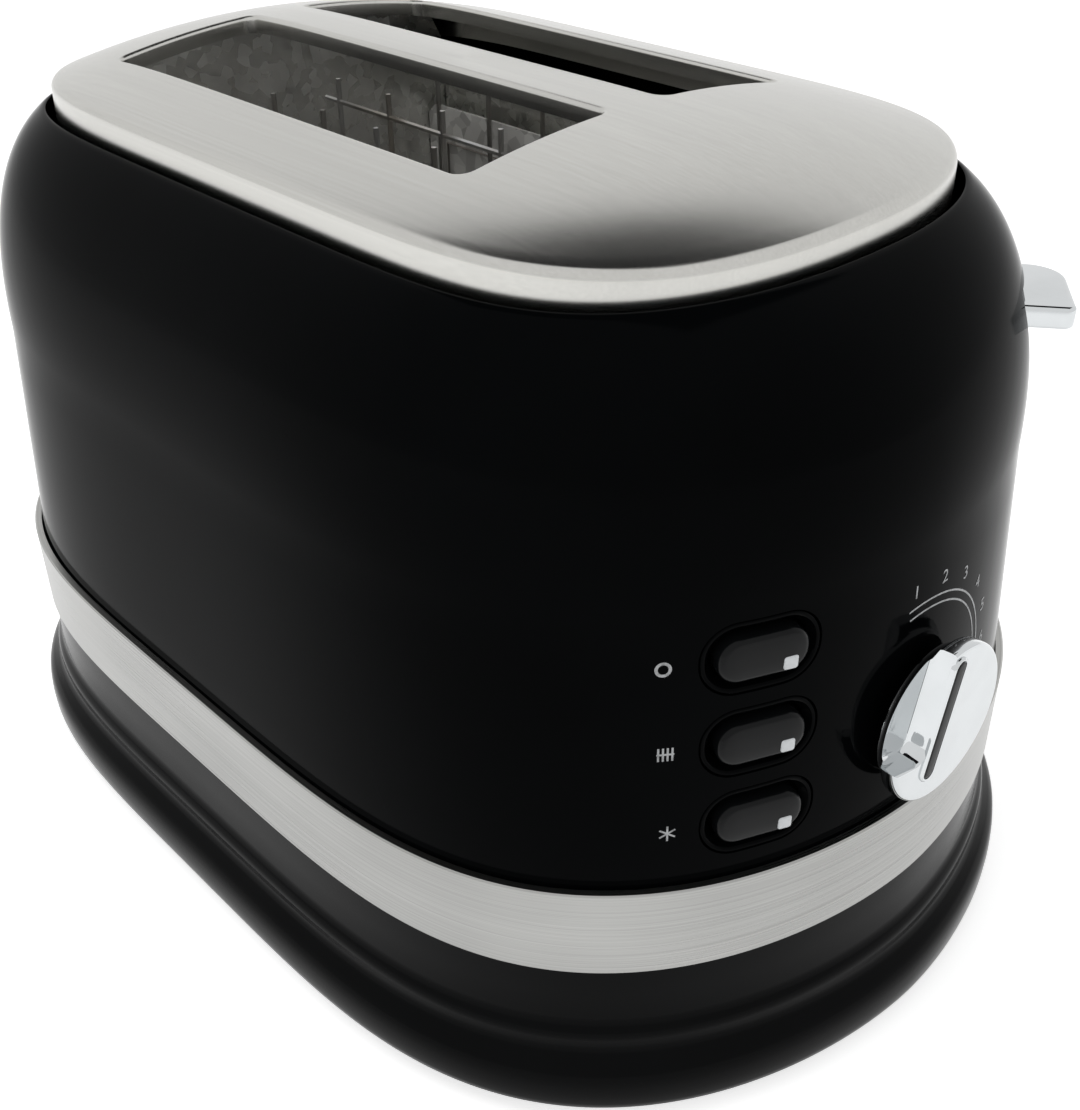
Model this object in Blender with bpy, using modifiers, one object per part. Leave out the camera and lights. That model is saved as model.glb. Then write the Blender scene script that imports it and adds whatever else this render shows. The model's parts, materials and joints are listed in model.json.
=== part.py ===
"""Two-slice toaster with a rolled black shell, a crowned steel lid and its working insides.

Run with: blender --background --python part.py

Metres, +Z up. The controls face -Y and the crumb tray pulls out towards +Y.
Every piece is its own object under the empty toaster_origin, which shifts the body
so that the world origin is the middle of the footprint, on the floor.
"""

import math

import bmesh
import bpy
import numpy as np
from mathutils import Matrix, Vector

# Fits shared by all pieces
GAP = 0.0003
OVERRUN = 0.004
RUNNING_CLEARANCE = 0.0006
WELD_DISTANCE = 0.000002

# Plan outline of the trim band, which the base and the shell follow
BAND_HALF_WIDTH = 0.0949
BAND_HALF_LENGTH = 0.1413
BAND_ACROSS_POWER = 1.84
BAND_ALONG_POWER = 4.22
RING_POINTS = 56
DENSE_POINTS = 1440

# Heights of the stack, from the floor up
FOOT_HEIGHT = 0.003
BASE_HEIGHT = 0.0375
BAND_HEIGHT = 0.0222
SHELL_RISE = 0.1115
LID_RISE = 0.016

# Base moulding
FLANGE_PROUD = 0.0056
BASE_WALL = 0.0024
BASE_FLOOR = 0.0025
LIP_HEIGHT = 0.007
LIP_WALL = 0.0022
# Outer profile from the underside up: share of the base height, share of the flange overhang
BASE_PROFILE_SHARES = (
    (0.0, 0.30), (0.02, 0.76), (0.08, 1.0), (0.22, 1.0), (0.30, 0.90), (0.35, 0.60),
    (0.41, 0.24), (0.51, 0.22), (0.56, 0.10), (0.60, -0.06), (1.0, -0.15),
)
COVE_ROW = 6
POST_SIZE = 0.009
VENT_WIDTH = 0.003
VENT_LENGTH = 0.060
VENT_PITCH = 0.012
VENT_COUNT = 5
FOOT_RADIUS = 0.009
FOOT_PEG_RADIUS = 0.003
FOOT_SIDE_INSET = 0.0329
FOOT_END_INSET = 0.0363
FOOT_POINTS = 16

# Trim band and shell
BAND_THICKNESS = 0.0018
BAND_CHAMFER = 0.0004
SHELL_THICKNESS = 0.0012
SHELL_TAPER = 0.0034
SHOULDER_RISE = 0.059
ROLL_HEIGHT = 0.058
SIDE_ROLL = 0.0365
END_ROLL = 0.0420
ROLL_POWER = 2.3
# Levels of the roll between the shoulder and the rim
ROLL_LEVEL_SHARES = (0.20, 0.38, 0.53, 0.66, 0.78, 0.89, 1.0)

# Crowned lid with its two bread slots
LID_GAP = 0.0015
LID_ACROSS_POWER = 2.2
LID_ALONG_POWER = 6.0
LID_THICKNESS = 0.0008
LID_SKIRT = 0.0022
LID_EDGE_RADIUS = 0.003
CROWN_ACROSS = 0.0090
CROWN_ALONG = 0.0105
CROWN_ALONG_POWER = 6.0
LID_RING_SHARES = (0.94, 0.86, 0.76, 0.62, 0.45, 0.25, 0.07)
SLOT_SIDE_MARGIN = 0.0204
SLOT_FRONT_MARGIN = 0.0574
SLOT_BACK_MARGIN = 0.0348
SLOT_BRIDGE = 0.0156
SLOT_CORNER = 0.003
SLOT_LIP = 0.004

# Inner chassis
CHASSIS_THICKNESS = 0.001
CHASSIS_CLEARANCE = 0.003
CHASSIS_SIDE_INSET = 0.0349
CHASSIS_BOTTOM = 0.018
CHASSIS_TOP = 0.166
CHASSIS_TOP_POINTS = 13
REFLECTOR_INSET = 0.003
BOARD_THICKNESS = 0.0008
BOARD_OFF_SLOT = 0.0040
CENTRE_BOARD_OFF_SLOT = 0.0042
BOARD_BOTTOM = 0.030
BOARD_TOP = 0.156
RIBBON_RADIUS = 0.0004
RIBBON_RUNS = 12
RIBBON_END_MARGIN = 0.009
RIBBON_EDGE_MARGIN = 0.010

# Bread guards, which lean in over the bread as the carriage goes down
GUARD_WIRE_RADIUS = 0.0007
GUARD_ROD_RADIUS = 0.0010
GUARD_OFF_EDGE = 0.0024
GUARD_WIRES = 6
GUARD_BOTTOM = 0.026
GUARD_TOP = 0.172
GUARD_RAIL_DROP = 0.006
GUARD_END_MARGIN = 0.010

# Bread carriage, its guide and its latch
CARRIAGE_TRAVEL = 0.070
RACK_TOP = 0.104
RACK_HEIGHT = 0.007
RACK_THICKNESS = 0.0012
RACK_TOOTH = 0.0018
RACK_TEETH = 12
RACK_PIN_RADIUS = 0.0009
RACK_PIN_LENGTH = 0.013
RACK_PINS = 5
RACK_END_MARGIN = 0.004
SLIDER_OFF_CHASSIS = 0.008
SLIDER_THICKNESS = 0.0012
SLIDER_SIDE_REACH = 0.0049
SLIDER_FOOT_HEIGHT = 0.013
SLIDER_STEM_HALF_WIDTH = 0.010
SLIDER_TOP = 0.153
GUIDE_RADIUS = 0.0025
BUSH_WALL = 0.0022
BUSH_HEIGHT = 0.028
GUIDE_CAP_RADIUS = 0.0065
GUIDE_CAP_HEIGHT = 0.003
SPRING_WIRE_RADIUS = 0.0005
SPRING_CURLS = 14
SPRING_CLEARANCE = 0.0008
CURL_POINTS = 9
ARM_THICKNESS = 0.0016
ARM_HEIGHT = 0.009
ARM_START_X = 0.0130
ARM_BEND_X = 0.036
MAGNET_WIDTH = 0.015
MAGNET_DEPTH = 0.012
MAGNET_POLE = 0.0035
MAGNET_SIDE_INSET = 0.008
KEEPER_THICKNESS = 0.0015

# Lever tab in its channel at the corner of the control end
LEVER_SIDE_SHARE = 0.6164
LEVER_BELOW_RIM = 0.0228
LEVER_THICKNESS = 0.005
LEVER_WIDTH = 0.025
LEVER_REACH = 0.0122
LEVER_ROOT = 0.0005
LEVER_NEAR_CORNER = 0.0022
LEVER_FAR_CORNER = 0.0080
LEVER_EDGE = 0.0010
CHANNEL_SIDE_CLEARANCE = 0.0007
CHANNEL_WALL = 0.0011
CHANNEL_FLOOR_CLEARANCE = 0.0015
CHANNEL_END_CLEARANCE = 0.003
STEM_WIDTH = 0.0032
STEM_LENGTH = 0.008

# Browning dial, whose raised face carries the pointer and falls away to a step beside it
DIAL_RADIUS = 0.0178
DIAL_BAND_CLEARANCE = 0.0052
DIAL_SIDE_OFFSET = 0.003
DIAL_OFF_SHELL = 0.0014
DIAL_THICKNESS = 0.0064
DIAL_EDGE = 0.0009
STEP_DEPTH = 0.0048
STEP_OFF_POINTER = 0.0011
STEP_END = 0.0072
STEP_CORNER = 0.0030
POINTER_OFF_AXIS = 0.0032
POINTER_UP_AXIS = 0.0018
POINTER_WIDTH = 0.0032
POINTER_LENGTH = 0.0268
POINTER_RISE = 0.0006
POINTER_DEPTH = 0.0008
POINTER_DEGREES = 13.5
SHAFT_RADIUS = 0.003
SHAFT_SEAT = 0.0045
POT_RADIUS = 0.0085
POT_DEPTH = 0.008
DIAL_POINTS = 48

# Key bank on the left of the control end
KEY_SIDE_SHARE = 0.4426
KEY_BAND_CLEARANCE = 0.0051
KEY_PITCH = 0.0190
CUP_WIDTH = 0.0250
CUP_HEIGHT = 0.0158
CUP_WALL = 0.0012
CUP_DEPTH = 0.0095
CUP_SLANT = 0.0022
KEY_WIDTH = 0.0185
KEY_HEIGHT = 0.0098
KEY_PROUD = 0.0012
KEY_BODY = 0.0075
KEY_EDGE = 0.0010
KEY_TRAVEL = 0.002
KEY_STEM_RADIUS = 0.0017
LAMP_SIZE = 0.0026
LAMP_PROUD = 0.0003
LAMP_DEPTH = 0.0012
LAMP_ACROSS = 0.0052
LAMP_DROP = 0.0023
SWITCH_WIDTH = 0.006
SWITCH_HEIGHT = 0.0035
KEY_BOARD_DEPTH = 0.022
KEY_BOARD_THICKNESS = 0.0016
KEY_BOARD_HALF_WIDTH = 0.015
KEY_NAMES = ("cancel", "reheat", "defrost")

# Control board behind the dial
DIAL_BOARD_OFF_SHELL = 0.026
DIAL_BOARD_OFF_KEYS = 0.0125
DIAL_BOARD_ABOVE_DIAL = 0.020
DIAL_BOARD_THICKNESS = 0.0016

# Crumb tray, drawn out at the back
TRAY_SIDE_SHARE = 0.4742
TRAY_DEPTH = 0.007
TRAY_WALL = 0.0008
TRAY_FRONT_MARGIN = 0.0027
TRAY_BACK_INSET = 0.006
TRAY_SLOT_MARGIN = 0.0015
GRIP_RECESS_RADIUS = 0.010
GRIP_RECESS_RISE = 0.0038

# Cord outlet and mains contacts
GLAND_FLANGE_SHARE = 0.2
GLAND_CLEARANCE = 0.0005
GLAND_FLANGE_RIM = 0.0020
GLAND_WALL = 0.0017
GLAND_FLANGE_THICKNESS = 0.002
CONTACT_BLOCK_WIDTH = 0.018
CONTACT_BLOCK_DEPTH = 0.014
CONTACT_BLOCK_HEIGHT = 0.016
CONTACT_BLOCK_X = 0.022

# Screws that hold the chassis to the base
SCREW_HEAD_RADIUS = 0.0028
SCREW_HEAD_HEIGHT = 0.0016
SCREW_SHANK_RADIUS = 0.0014
SCREW_POINTS = 12

# Heights that follow from the stack
BASE_TOP = FOOT_HEIGHT + BASE_HEIGHT
FLOOR_TOP = FOOT_HEIGHT + BASE_FLOOR
BAND_BOTTOM = BASE_TOP + GAP
BAND_TOP = BAND_BOTTOM + BAND_HEIGHT
SHOULDER_Z = BAND_TOP + SHOULDER_RISE
RIM_Z = BAND_TOP + SHELL_RISE
LID_TOP = RIM_Z + LID_RISE
SHELL_INSET = BAND_THICKNESS + GAP
LIP_INSET = SHELL_INSET + SHELL_THICKNESS + GAP

LEVER_TOP = RIM_Z - LEVER_BELOW_RIM
DIAL_HEIGHT = BAND_TOP + DIAL_BAND_CLEARANCE + DIAL_RADIUS
GLAND_FLANGE_RADIUS = GLAND_FLANGE_SHARE * BASE_HEIGHT - GLAND_CLEARANCE
GLAND_RADIUS = GLAND_FLANGE_RADIUS - GLAND_FLANGE_RIM
GLAND_BORE_RADIUS = GLAND_RADIUS - GLAND_WALL
GLAND_HEIGHT = BASE_TOP - GLAND_CLEARANCE - GLAND_FLANGE_RADIUS
KEY_TOP_HEIGHT = BAND_TOP + KEY_BAND_CLEARANCE + CUP_HEIGHT / 2 + (len(KEY_NAMES) - 1) * KEY_PITCH

# Places across the body that follow from the outline
LEVER_X = LEVER_SIDE_SHARE * BAND_HALF_WIDTH
KEY_X = KEY_SIDE_SHARE * BAND_HALF_WIDTH
DIAL_X = -DIAL_SIDE_OFFSET
DIAL_BOARD_HALF_WIDTH = KEY_X - KEY_BOARD_HALF_WIDTH - DIAL_BOARD_OFF_KEYS
TRAY_HALF_WIDTH = TRAY_SIDE_SHARE * BAND_HALF_WIDTH
CHASSIS_HALF_WIDTH = BAND_HALF_WIDTH - CHASSIS_SIDE_INSET

# The lid fills the rim of the shell, and the slots keep their margins inside the lid
RIM_ROLL_SHARE = 1 - math.sqrt(1 - ((RIM_Z - SHOULDER_Z) / ROLL_HEIGHT) ** ROLL_POWER)
RIM_INSET = SHELL_INSET + SHELL_TAPER + SHELL_THICKNESS + LID_GAP
LID_HALF_WIDTH = BAND_HALF_WIDTH - RIM_INSET - SIDE_ROLL * RIM_ROLL_SHARE
LID_HALF_LENGTH = BAND_HALF_LENGTH - RIM_INSET - END_ROLL * RIM_ROLL_SHARE
SLOT_WIDTH = LID_HALF_WIDTH - SLOT_SIDE_MARGIN - SLOT_BRIDGE / 2
SLOT_MIDDLE_X = (SLOT_BRIDGE + SLOT_WIDTH) / 2
SLOT_FRONT = SLOT_FRONT_MARGIN - LID_HALF_LENGTH
SLOT_BACK = LID_HALF_LENGTH - SLOT_BACK_MARGIN
SLOT_LENGTH = SLOT_BACK - SLOT_FRONT
SLOT_MIDDLE_Y = (SLOT_FRONT + SLOT_BACK) / 2
SLIDER_HALF_WIDTH = SLOT_MIDDLE_X + SLIDER_SIDE_REACH
MAGNET_X = SLIDER_HALF_WIDTH - MAGNET_SIDE_INSET

# Places along the body that follow from the bread slots
CHASSIS_FRONT_Y = SLOT_FRONT - CHASSIS_CLEARANCE
CHASSIS_BACK_Y = SLOT_BACK + CHASSIS_CLEARANCE
SLIDER_Y = CHASSIS_FRONT_Y - SLIDER_OFF_CHASSIS
BUSH_RADIUS = GUIDE_RADIUS + RUNNING_CLEARANCE + BUSH_WALL
GUIDE_Y = SLIDER_Y - SLIDER_THICKNESS / 2 - GAP - BUSH_RADIUS

FINISHES = {
    "gloss_black_paint": ((0.012, 0.013, 0.015), 0.16, 0.0),
    "brushed_steel": ((0.62, 0.61, 0.58), 0.32, 1.0),
    "chrome": ((0.80, 0.81, 0.83), 0.08, 1.0),
    "black_plastic": ((0.020, 0.021, 0.023), 0.35, 0.0),
    "black_inlay": ((0.008, 0.009, 0.009), 0.45, 0.0),
    "clear_lens": ((0.88, 0.90, 0.92), 0.12, 0.0),
    "rubber": ((0.030, 0.030, 0.030), 0.80, 0.0),
    "zinc_plate": ((0.42, 0.42, 0.41), 0.45, 1.0),
    "mica": ((0.30, 0.26, 0.20), 0.60, 0.0),
    "heating_alloy": ((0.22, 0.20, 0.18), 0.50, 1.0),
    "spring_steel": ((0.50, 0.50, 0.50), 0.30, 1.0),
    "circuit_board": ((0.05, 0.18, 0.08), 0.50, 0.0),
    "copper": ((0.65, 0.32, 0.18), 0.40, 1.0),
    "cream_plastic": ((0.72, 0.70, 0.62), 0.50, 0.0),
}


def clear_scene():
    for item in list(bpy.data.objects):
        bpy.data.objects.remove(item, do_unlink=True)


def new_collection(name, hidden):
    collection = bpy.data.collections.new(name)
    bpy.context.scene.collection.children.link(collection)
    collection.hide_render = hidden
    return collection


def make_finish(name):
    colour, roughness, metallic = FINISHES[name]
    material = bpy.data.materials.new(name)
    material.use_nodes = True
    shader = material.node_tree.nodes["Principled BSDF"]
    shader.inputs["Base Color"].default_value = (*colour, 1.0)
    shader.inputs["Roughness"].default_value = roughness
    shader.inputs["Metallic"].default_value = metallic
    material.diffuse_color = (*colour, 1.0)
    return material


class Bench:
    """Holds the collections, the finishes and the empty that carries every piece."""

    def __init__(self, shift):
        self.parts = new_collection("toaster", hidden=False)
        self.cutters = new_collection("toaster_cutters", hidden=True)
        self.finishes = {name: make_finish(name) for name in FINISHES}
        self.origin = bpy.data.objects.new("toaster_origin", None)
        self.origin.location = (0, shift, 0)
        self.parts.objects.link(self.origin)

    def add(self, name, mesh, finish, matrix=None, smooth=True):
        """A piece of the toaster, smooth except at its sharp edges."""
        item = bpy.data.objects.new(name, mesh)
        self.parts.objects.link(item)
        mesh.materials.append(self.finishes[finish])
        if smooth:
            mesh.shade_smooth()
            mesh.set_sharp_from_angle(angle=math.radians(35))
        item.parent = self.origin
        item.matrix_local = matrix or Matrix.Identity(4)
        return item

    def tool(self, name, mesh, matrix=None):
        """A shape that only cuts or joins another."""
        item = bpy.data.objects.new(name, mesh)
        self.cutters.objects.link(item)
        item.parent = self.origin
        item.matrix_local = matrix or Matrix.Identity(4)
        item.hide_render = True
        item.display_type = "WIRE"
        return item


def combine(item, tool, operation="DIFFERENCE"):
    modifier = item.modifiers.new(f"{operation.lower()}_{tool.name}", "BOOLEAN")
    modifier.operation = operation
    modifier.solver = "EXACT"
    modifier.object = tool


def round_edges(item, width, segments=2):
    modifier = item.modifiers.new("round_edges", "BEVEL")
    modifier.width = width
    modifier.segments = segments
    modifier.limit_method = "ANGLE"
    modifier.angle_limit = math.radians(40)


def thicken(item, thickness):
    modifier = item.modifiers.new("wall", "SOLIDIFY")
    modifier.thickness = thickness
    modifier.offset = -1
    modifier.use_even_offset = True


def turn(heading):
    return Matrix.Rotation(heading, 4, "Z")


def move(x, y, z):
    return Matrix.Translation((x, y, z))


# Mesh builders


def mesh_from(name, points, faces):
    mesh = bpy.data.meshes.new(name)
    mesh.from_pydata([tuple(point) for point in points], [], faces)
    mesh.update()
    return mesh


def skin(name, rings, looped=False, capped=False):
    """Quads between rings that run anticlockwise and are listed up the outside."""
    count = len(rings[0])
    faces = []
    for low in range(len(rings) if looped else len(rings) - 1):
        high = (low + 1) % len(rings)
        for k in range(count):
            after = (k + 1) % count
            faces.append((low * count + k, low * count + after, high * count + after, high * count + k))
    if capped:
        faces.append(tuple(reversed(range(count))))
        faces.append(tuple((len(rings) - 1) * count + k for k in range(count)))
    return mesh_from(name, np.concatenate(rings), faces)


def box_mesh(name, low, high):
    mesh = bpy.data.meshes.new(name)
    shape = bmesh.new()
    low, high = Vector(low), Vector(high)
    size = high - low
    matrix = Matrix.Translation((low + high) / 2) @ Matrix.Diagonal((*size, 1))
    bmesh.ops.create_cube(shape, size=1, matrix=matrix)
    shape.to_mesh(mesh)
    shape.free()
    return mesh


def cylinder_mesh(name, radius, start, end, points, end_radius=None):
    """A cylinder or cone from the point start to the point end."""
    start, end = Vector(start), Vector(end)
    axis = end - start
    matrix = Matrix.Translation((start + end) / 2) @ axis.to_track_quat("Z", "Y").to_matrix().to_4x4()
    mesh = bpy.data.meshes.new(name)
    shape = bmesh.new()
    bmesh.ops.create_cone(
        shape,
        cap_ends=True,
        segments=points,
        radius1=radius,
        radius2=radius if end_radius is None else end_radius,
        depth=axis.length,
        matrix=matrix,
    )
    shape.to_mesh(mesh)
    shape.free()
    return mesh


def tube_rings(profile, points, matrix):
    """Rings of a turned shape about local Z, from (radius, height) pairs."""
    angles = np.linspace(0, 2 * math.pi, points, endpoint=False)
    rings = []
    for radius, height in profile:
        flat = np.stack([radius * np.cos(angles), radius * np.sin(angles), np.full(points, height)], axis=1)
        rings.append(np.array([matrix @ Vector(point) for point in flat]))
    return rings


def solid_from_curve(name, curve):
    """The curve's mesh with its caps welded on."""
    item = bpy.data.objects.new(name, curve)
    bpy.context.scene.collection.objects.link(item)
    evaluated = item.evaluated_get(bpy.context.evaluated_depsgraph_get())
    mesh = bpy.data.meshes.new_from_object(evaluated)
    bpy.data.objects.remove(item, do_unlink=True)
    bpy.data.curves.remove(curve)
    shape = bmesh.new()
    shape.from_mesh(mesh)
    bmesh.ops.remove_doubles(shape, verts=shape.verts, dist=WELD_DISTANCE)
    bmesh.ops.recalc_face_normals(shape, faces=shape.faces)
    shape.to_mesh(mesh)
    shape.free()
    mesh.name = name
    return mesh


def sheet_mesh(name, loops, thickness):
    """A flat sheet in local XY, centred on its thickness, with its holes as further loops."""
    curve = bpy.data.curves.new(name, "CURVE")
    curve.dimensions = "2D"
    curve.fill_mode = "BOTH"
    curve.extrude = thickness / 2
    for loop in loops:
        spline = curve.splines.new("POLY")
        spline.points.add(len(loop) - 1)
        for point, (x, y) in zip(spline.points, loop):
            point.co = (x, y, 0, 1)
        spline.use_cyclic_u = True
    return solid_from_curve(name, curve)


def wire_mesh(name, points, radius, resolution=1):
    """A round wire through the points, closed at both ends."""
    curve = bpy.data.curves.new(name, "CURVE")
    curve.dimensions = "3D"
    curve.bevel_depth = radius
    curve.bevel_resolution = resolution
    curve.use_fill_caps = True
    spline = curve.splines.new("POLY")
    spline.points.add(len(points) - 1)
    for point, place in zip(spline.points, points):
        point.co = (*place, 1)
    return solid_from_curve(name, curve)


# Outlines


def plan_ring(half_width, half_length, across, along, z, proud=0.0):
    """Evenly spaced points of |x/half_width|^across + |y/half_length|^along = 1 at height z.

    proud moves each point out along the outline's normal.
    """
    angle = np.linspace(0, 2 * math.pi, DENSE_POINTS, endpoint=False)
    cosine, sine = np.cos(angle), np.sin(angle)
    x = half_width * np.sign(cosine) * np.abs(cosine) ** (2 / across)
    y = half_length * np.sign(sine) * np.abs(sine) ** (2 / along)
    ends = np.append(x, x[0]), np.append(y, y[0])
    travelled = np.concatenate([[0], np.cumsum(np.hypot(np.diff(ends[0]), np.diff(ends[1])))])
    wanted = np.linspace(0, travelled[-1], RING_POINTS, endpoint=False)
    x = np.interp(wanted, travelled, ends[0])
    y = np.interp(wanted, travelled, ends[1])
    lean_x = np.sign(x) * across / half_width * np.abs(x / half_width) ** (across - 1)
    lean_y = np.sign(y) * along / half_length * np.abs(y / half_length) ** (along - 1)
    length = np.hypot(lean_x, lean_y)
    x = x + proud * lean_x / length
    y = y + proud * lean_y / length
    return np.stack([x, y, np.full(RING_POINTS, z)], axis=1)


def band_ring(z, proud=0.0):
    return plan_ring(BAND_HALF_WIDTH, BAND_HALF_LENGTH, BAND_ACROSS_POWER, BAND_ALONG_POWER, z, proud)


def roll_share(z):
    """How far the shell has rolled in at height z: nothing at the shoulder, one at a full quarter turn."""
    rise = min(max((z - SHOULDER_Z) / ROLL_HEIGHT, 0), 1)
    return 1 - math.sqrt(1 - rise**ROLL_POWER)


def shell_section(z):
    """Half width, half length and the two powers of the shell's outline at height z."""
    taper = SHELL_TAPER * min(max((z - BAND_TOP) / SHOULDER_RISE, 0), 1)
    roll = roll_share(z)
    blend = roll / roll_share(RIM_Z)
    return (
        BAND_HALF_WIDTH - SHELL_INSET - taper - SIDE_ROLL * roll,
        BAND_HALF_LENGTH - SHELL_INSET - taper - END_ROLL * roll,
        BAND_ACROSS_POWER + (LID_ACROSS_POWER - BAND_ACROSS_POWER) * blend,
        BAND_ALONG_POWER + (LID_ALONG_POWER - BAND_ALONG_POWER) * blend,
    )


def shell_ring(z, proud=0.0):
    return plan_ring(*shell_section(z), z, proud)


def shell_levels():
    shoulder_levels = [BAND_BOTTOM, BAND_TOP, (BAND_TOP + SHOULDER_Z) / 2, SHOULDER_Z]
    return shoulder_levels + [SHOULDER_Z + share * (RIM_Z - SHOULDER_Z) for share in ROLL_LEVEL_SHARES]


def control_frame(x, z):
    """A frame on the control end of the shell: local -Y points out of the surface, local X along it."""
    half_width, half_length, across, along = shell_section(z)
    y = -half_length * (1 - abs(x / half_width) ** across) ** (1 / along)
    lean_x = across / half_width * abs(x / half_width) ** (across - 1)
    lean_y = along / half_length * abs(y / half_length) ** (along - 1)
    heading = math.copysign(math.atan2(lean_x, lean_y), x)
    return move(x, y, z) @ turn(heading)


def crown_height(x, y):
    """Height of the lid's outer face over a point of its plan."""
    across = CROWN_ACROSS * np.abs(x / LID_HALF_WIDTH) ** 2
    along = CROWN_ALONG * np.abs(y / LID_HALF_LENGTH) ** CROWN_ALONG_POWER
    return LID_TOP - across - along


def rounded_rectangle(width, height, radius, steps=4, centre=(0, 0)):
    """Anticlockwise outline with round corners; radius may differ at each corner, from +X+Y round."""
    radii = radius if isinstance(radius, tuple) else (radius,) * 4
    loop = []
    for corner, (sign_x, sign_y) in enumerate(((1, 1), (-1, 1), (-1, -1), (1, -1))):
        r = radii[corner]
        middle = (sign_x * (width / 2 - r), sign_y * (height / 2 - r))
        for step in range(steps + 1):
            angle = math.pi / 2 * (corner + step / steps)
            x = centre[0] + middle[0] + r * math.cos(angle)
            y = centre[1] + middle[1] + r * math.sin(angle)
            loop.append((x, y))
    return loop


def round_hole(radius, centre, points=12):
    angles = [2 * math.pi * k / points for k in range(points)]
    return [(centre[0] + radius * math.cos(a), centre[1] + radius * math.sin(a)) for a in angles]


# Outer pieces


def base_rings():
    """Up the outside, over the locating lip and down the inside to the floor."""
    rings = []
    for height_share, proud_share in BASE_PROFILE_SHARES:
        rings.append(band_ring(FOOT_HEIGHT + height_share * BASE_HEIGHT, proud_share * FLANGE_PROUD))
    lip_inner = -LIP_INSET - LIP_WALL
    cove_height = FOOT_HEIGHT + BASE_HEIGHT * BASE_PROFILE_SHARES[COVE_ROW][0]
    flange_inner = FLANGE_PROUD * BASE_PROFILE_SHARES[0][1] - BASE_WALL
    rings.append(band_ring(BASE_TOP, -LIP_INSET))
    rings.append(band_ring(BASE_TOP + LIP_HEIGHT, -LIP_INSET))
    rings.append(band_ring(BASE_TOP + LIP_HEIGHT, lip_inner))
    rings.append(band_ring(cove_height, lip_inner))
    rings.append(band_ring(FLOOR_TOP + BASE_WALL, flange_inner - BASE_WALL))
    rings.append(band_ring(FLOOR_TOP, flange_inner - BASE_WALL))
    return rings


def tray_slot_box():
    """Opening in the back wall of the base that the crumb tray comes through."""
    low = (-TRAY_HALF_WIDTH - TRAY_SLOT_MARGIN, 0, FLOOR_TOP)
    high = (TRAY_HALF_WIDTH + TRAY_SLOT_MARGIN, BAND_HALF_LENGTH + FLANGE_PROUD + OVERRUN,
            FLOOR_TOP + TRAY_DEPTH + TRAY_SLOT_MARGIN)
    return low, high


def post_places():
    """Corners of the chassis, where posts of the base carry its two plates."""
    x = CHASSIS_HALF_WIDTH - POST_SIZE / 2
    return [(side * x, y) for side in (-1, 1) for y in (CHASSIS_FRONT_Y, CHASSIS_BACK_Y)]


def dial_board_y():
    half_length = shell_section(DIAL_HEIGHT)[1]
    return -half_length + DIAL_BOARD_OFF_SHELL


def make_base(bench):
    base = bench.add("base_moulding", skin("base_moulding", base_rings(), capped=True), "black_plastic")
    low, high = tray_slot_box()
    slot = box_mesh("tray_slot", (low[0], CHASSIS_BACK_Y + POST_SIZE, low[2]), high)
    combine(base, bench.tool("tray_slot", slot))
    for k, (x, y) in enumerate(post_places()):
        half = POST_SIZE / 2
        top = CHASSIS_BOTTOM - GAP
        foot = FLOOR_TOP - BASE_FLOOR / 2
        post = box_mesh("chassis_post", (x - half, y - half, foot), (x + half, y + half, top))
        combine(base, bench.tool(f"chassis_post_{k}", post), "UNION")
    for side in (-1, 1):
        x = DIAL_X + side * DIAL_BOARD_HALF_WIDTH
        y = dial_board_y()
        half = POST_SIZE / 2
        foot = FLOOR_TOP - BASE_FLOOR / 2
        rail = box_mesh("board_rail", (x - half, y - half, foot), (x + half, y + half, BASE_TOP))
        combine(base, bench.tool(f"board_rail_{side}", rail), "UNION")
    groove_half = DIAL_BOARD_THICKNESS / 2 + GAP
    groove = box_mesh(
        "board_groove",
        (DIAL_X - DIAL_BOARD_HALF_WIDTH - GAP, dial_board_y() - groove_half, FLOOR_TOP),
        (DIAL_X + DIAL_BOARD_HALF_WIDTH + GAP, dial_board_y() + groove_half, BASE_TOP + OVERRUN),
    )
    combine(base, bench.tool("board_groove", groove))
    for k in range(VENT_COUNT):
        x = (k - (VENT_COUNT - 1) / 2) * VENT_PITCH
        vent = box_mesh(
            "floor_vent",
            (x - VENT_WIDTH / 2, SLOT_MIDDLE_Y - VENT_LENGTH / 2, FOOT_HEIGHT - OVERRUN),
            (x + VENT_WIDTH / 2, SLOT_MIDDLE_Y + VENT_LENGTH / 2, FLOOR_TOP + OVERRUN),
        )
        combine(base, bench.tool(f"floor_vent_{k}", vent))
    for k, (x, y) in enumerate(foot_places()):
        top = FLOOR_TOP + OVERRUN
        peg = cylinder_mesh("peg_hole", FOOT_PEG_RADIUS + GAP, (x, y, 0), (x, y, top), SCREW_POINTS)
        combine(base, bench.tool(f"peg_hole_{k}", peg))
    gland = cylinder_mesh(
        "gland_hole",
        GLAND_RADIUS + GAP,
        (0, BAND_HALF_LENGTH - LIP_INSET - LIP_WALL - OVERRUN, GLAND_HEIGHT),
        (0, BAND_HALF_LENGTH + OVERRUN, GLAND_HEIGHT),
        SCREW_POINTS,
    )
    combine(base, bench.tool("gland_hole", gland))
    for k, (x, y) in enumerate(post_places()):
        top = CHASSIS_BOTTOM + OVERRUN
        hole = cylinder_mesh("screw_hole", SCREW_SHANK_RADIUS + GAP, (x, y, 0), (x, y, top), SCREW_POINTS)
        combine(base, bench.tool(f"screw_hole_{k}", hole))


def foot_places():
    x, y = BAND_HALF_WIDTH - FOOT_SIDE_INSET, BAND_HALF_LENGTH - FOOT_END_INSET
    return [(sx * x, sy * y) for sx in (-1, 1) for sy in (-1, 1)]


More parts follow.
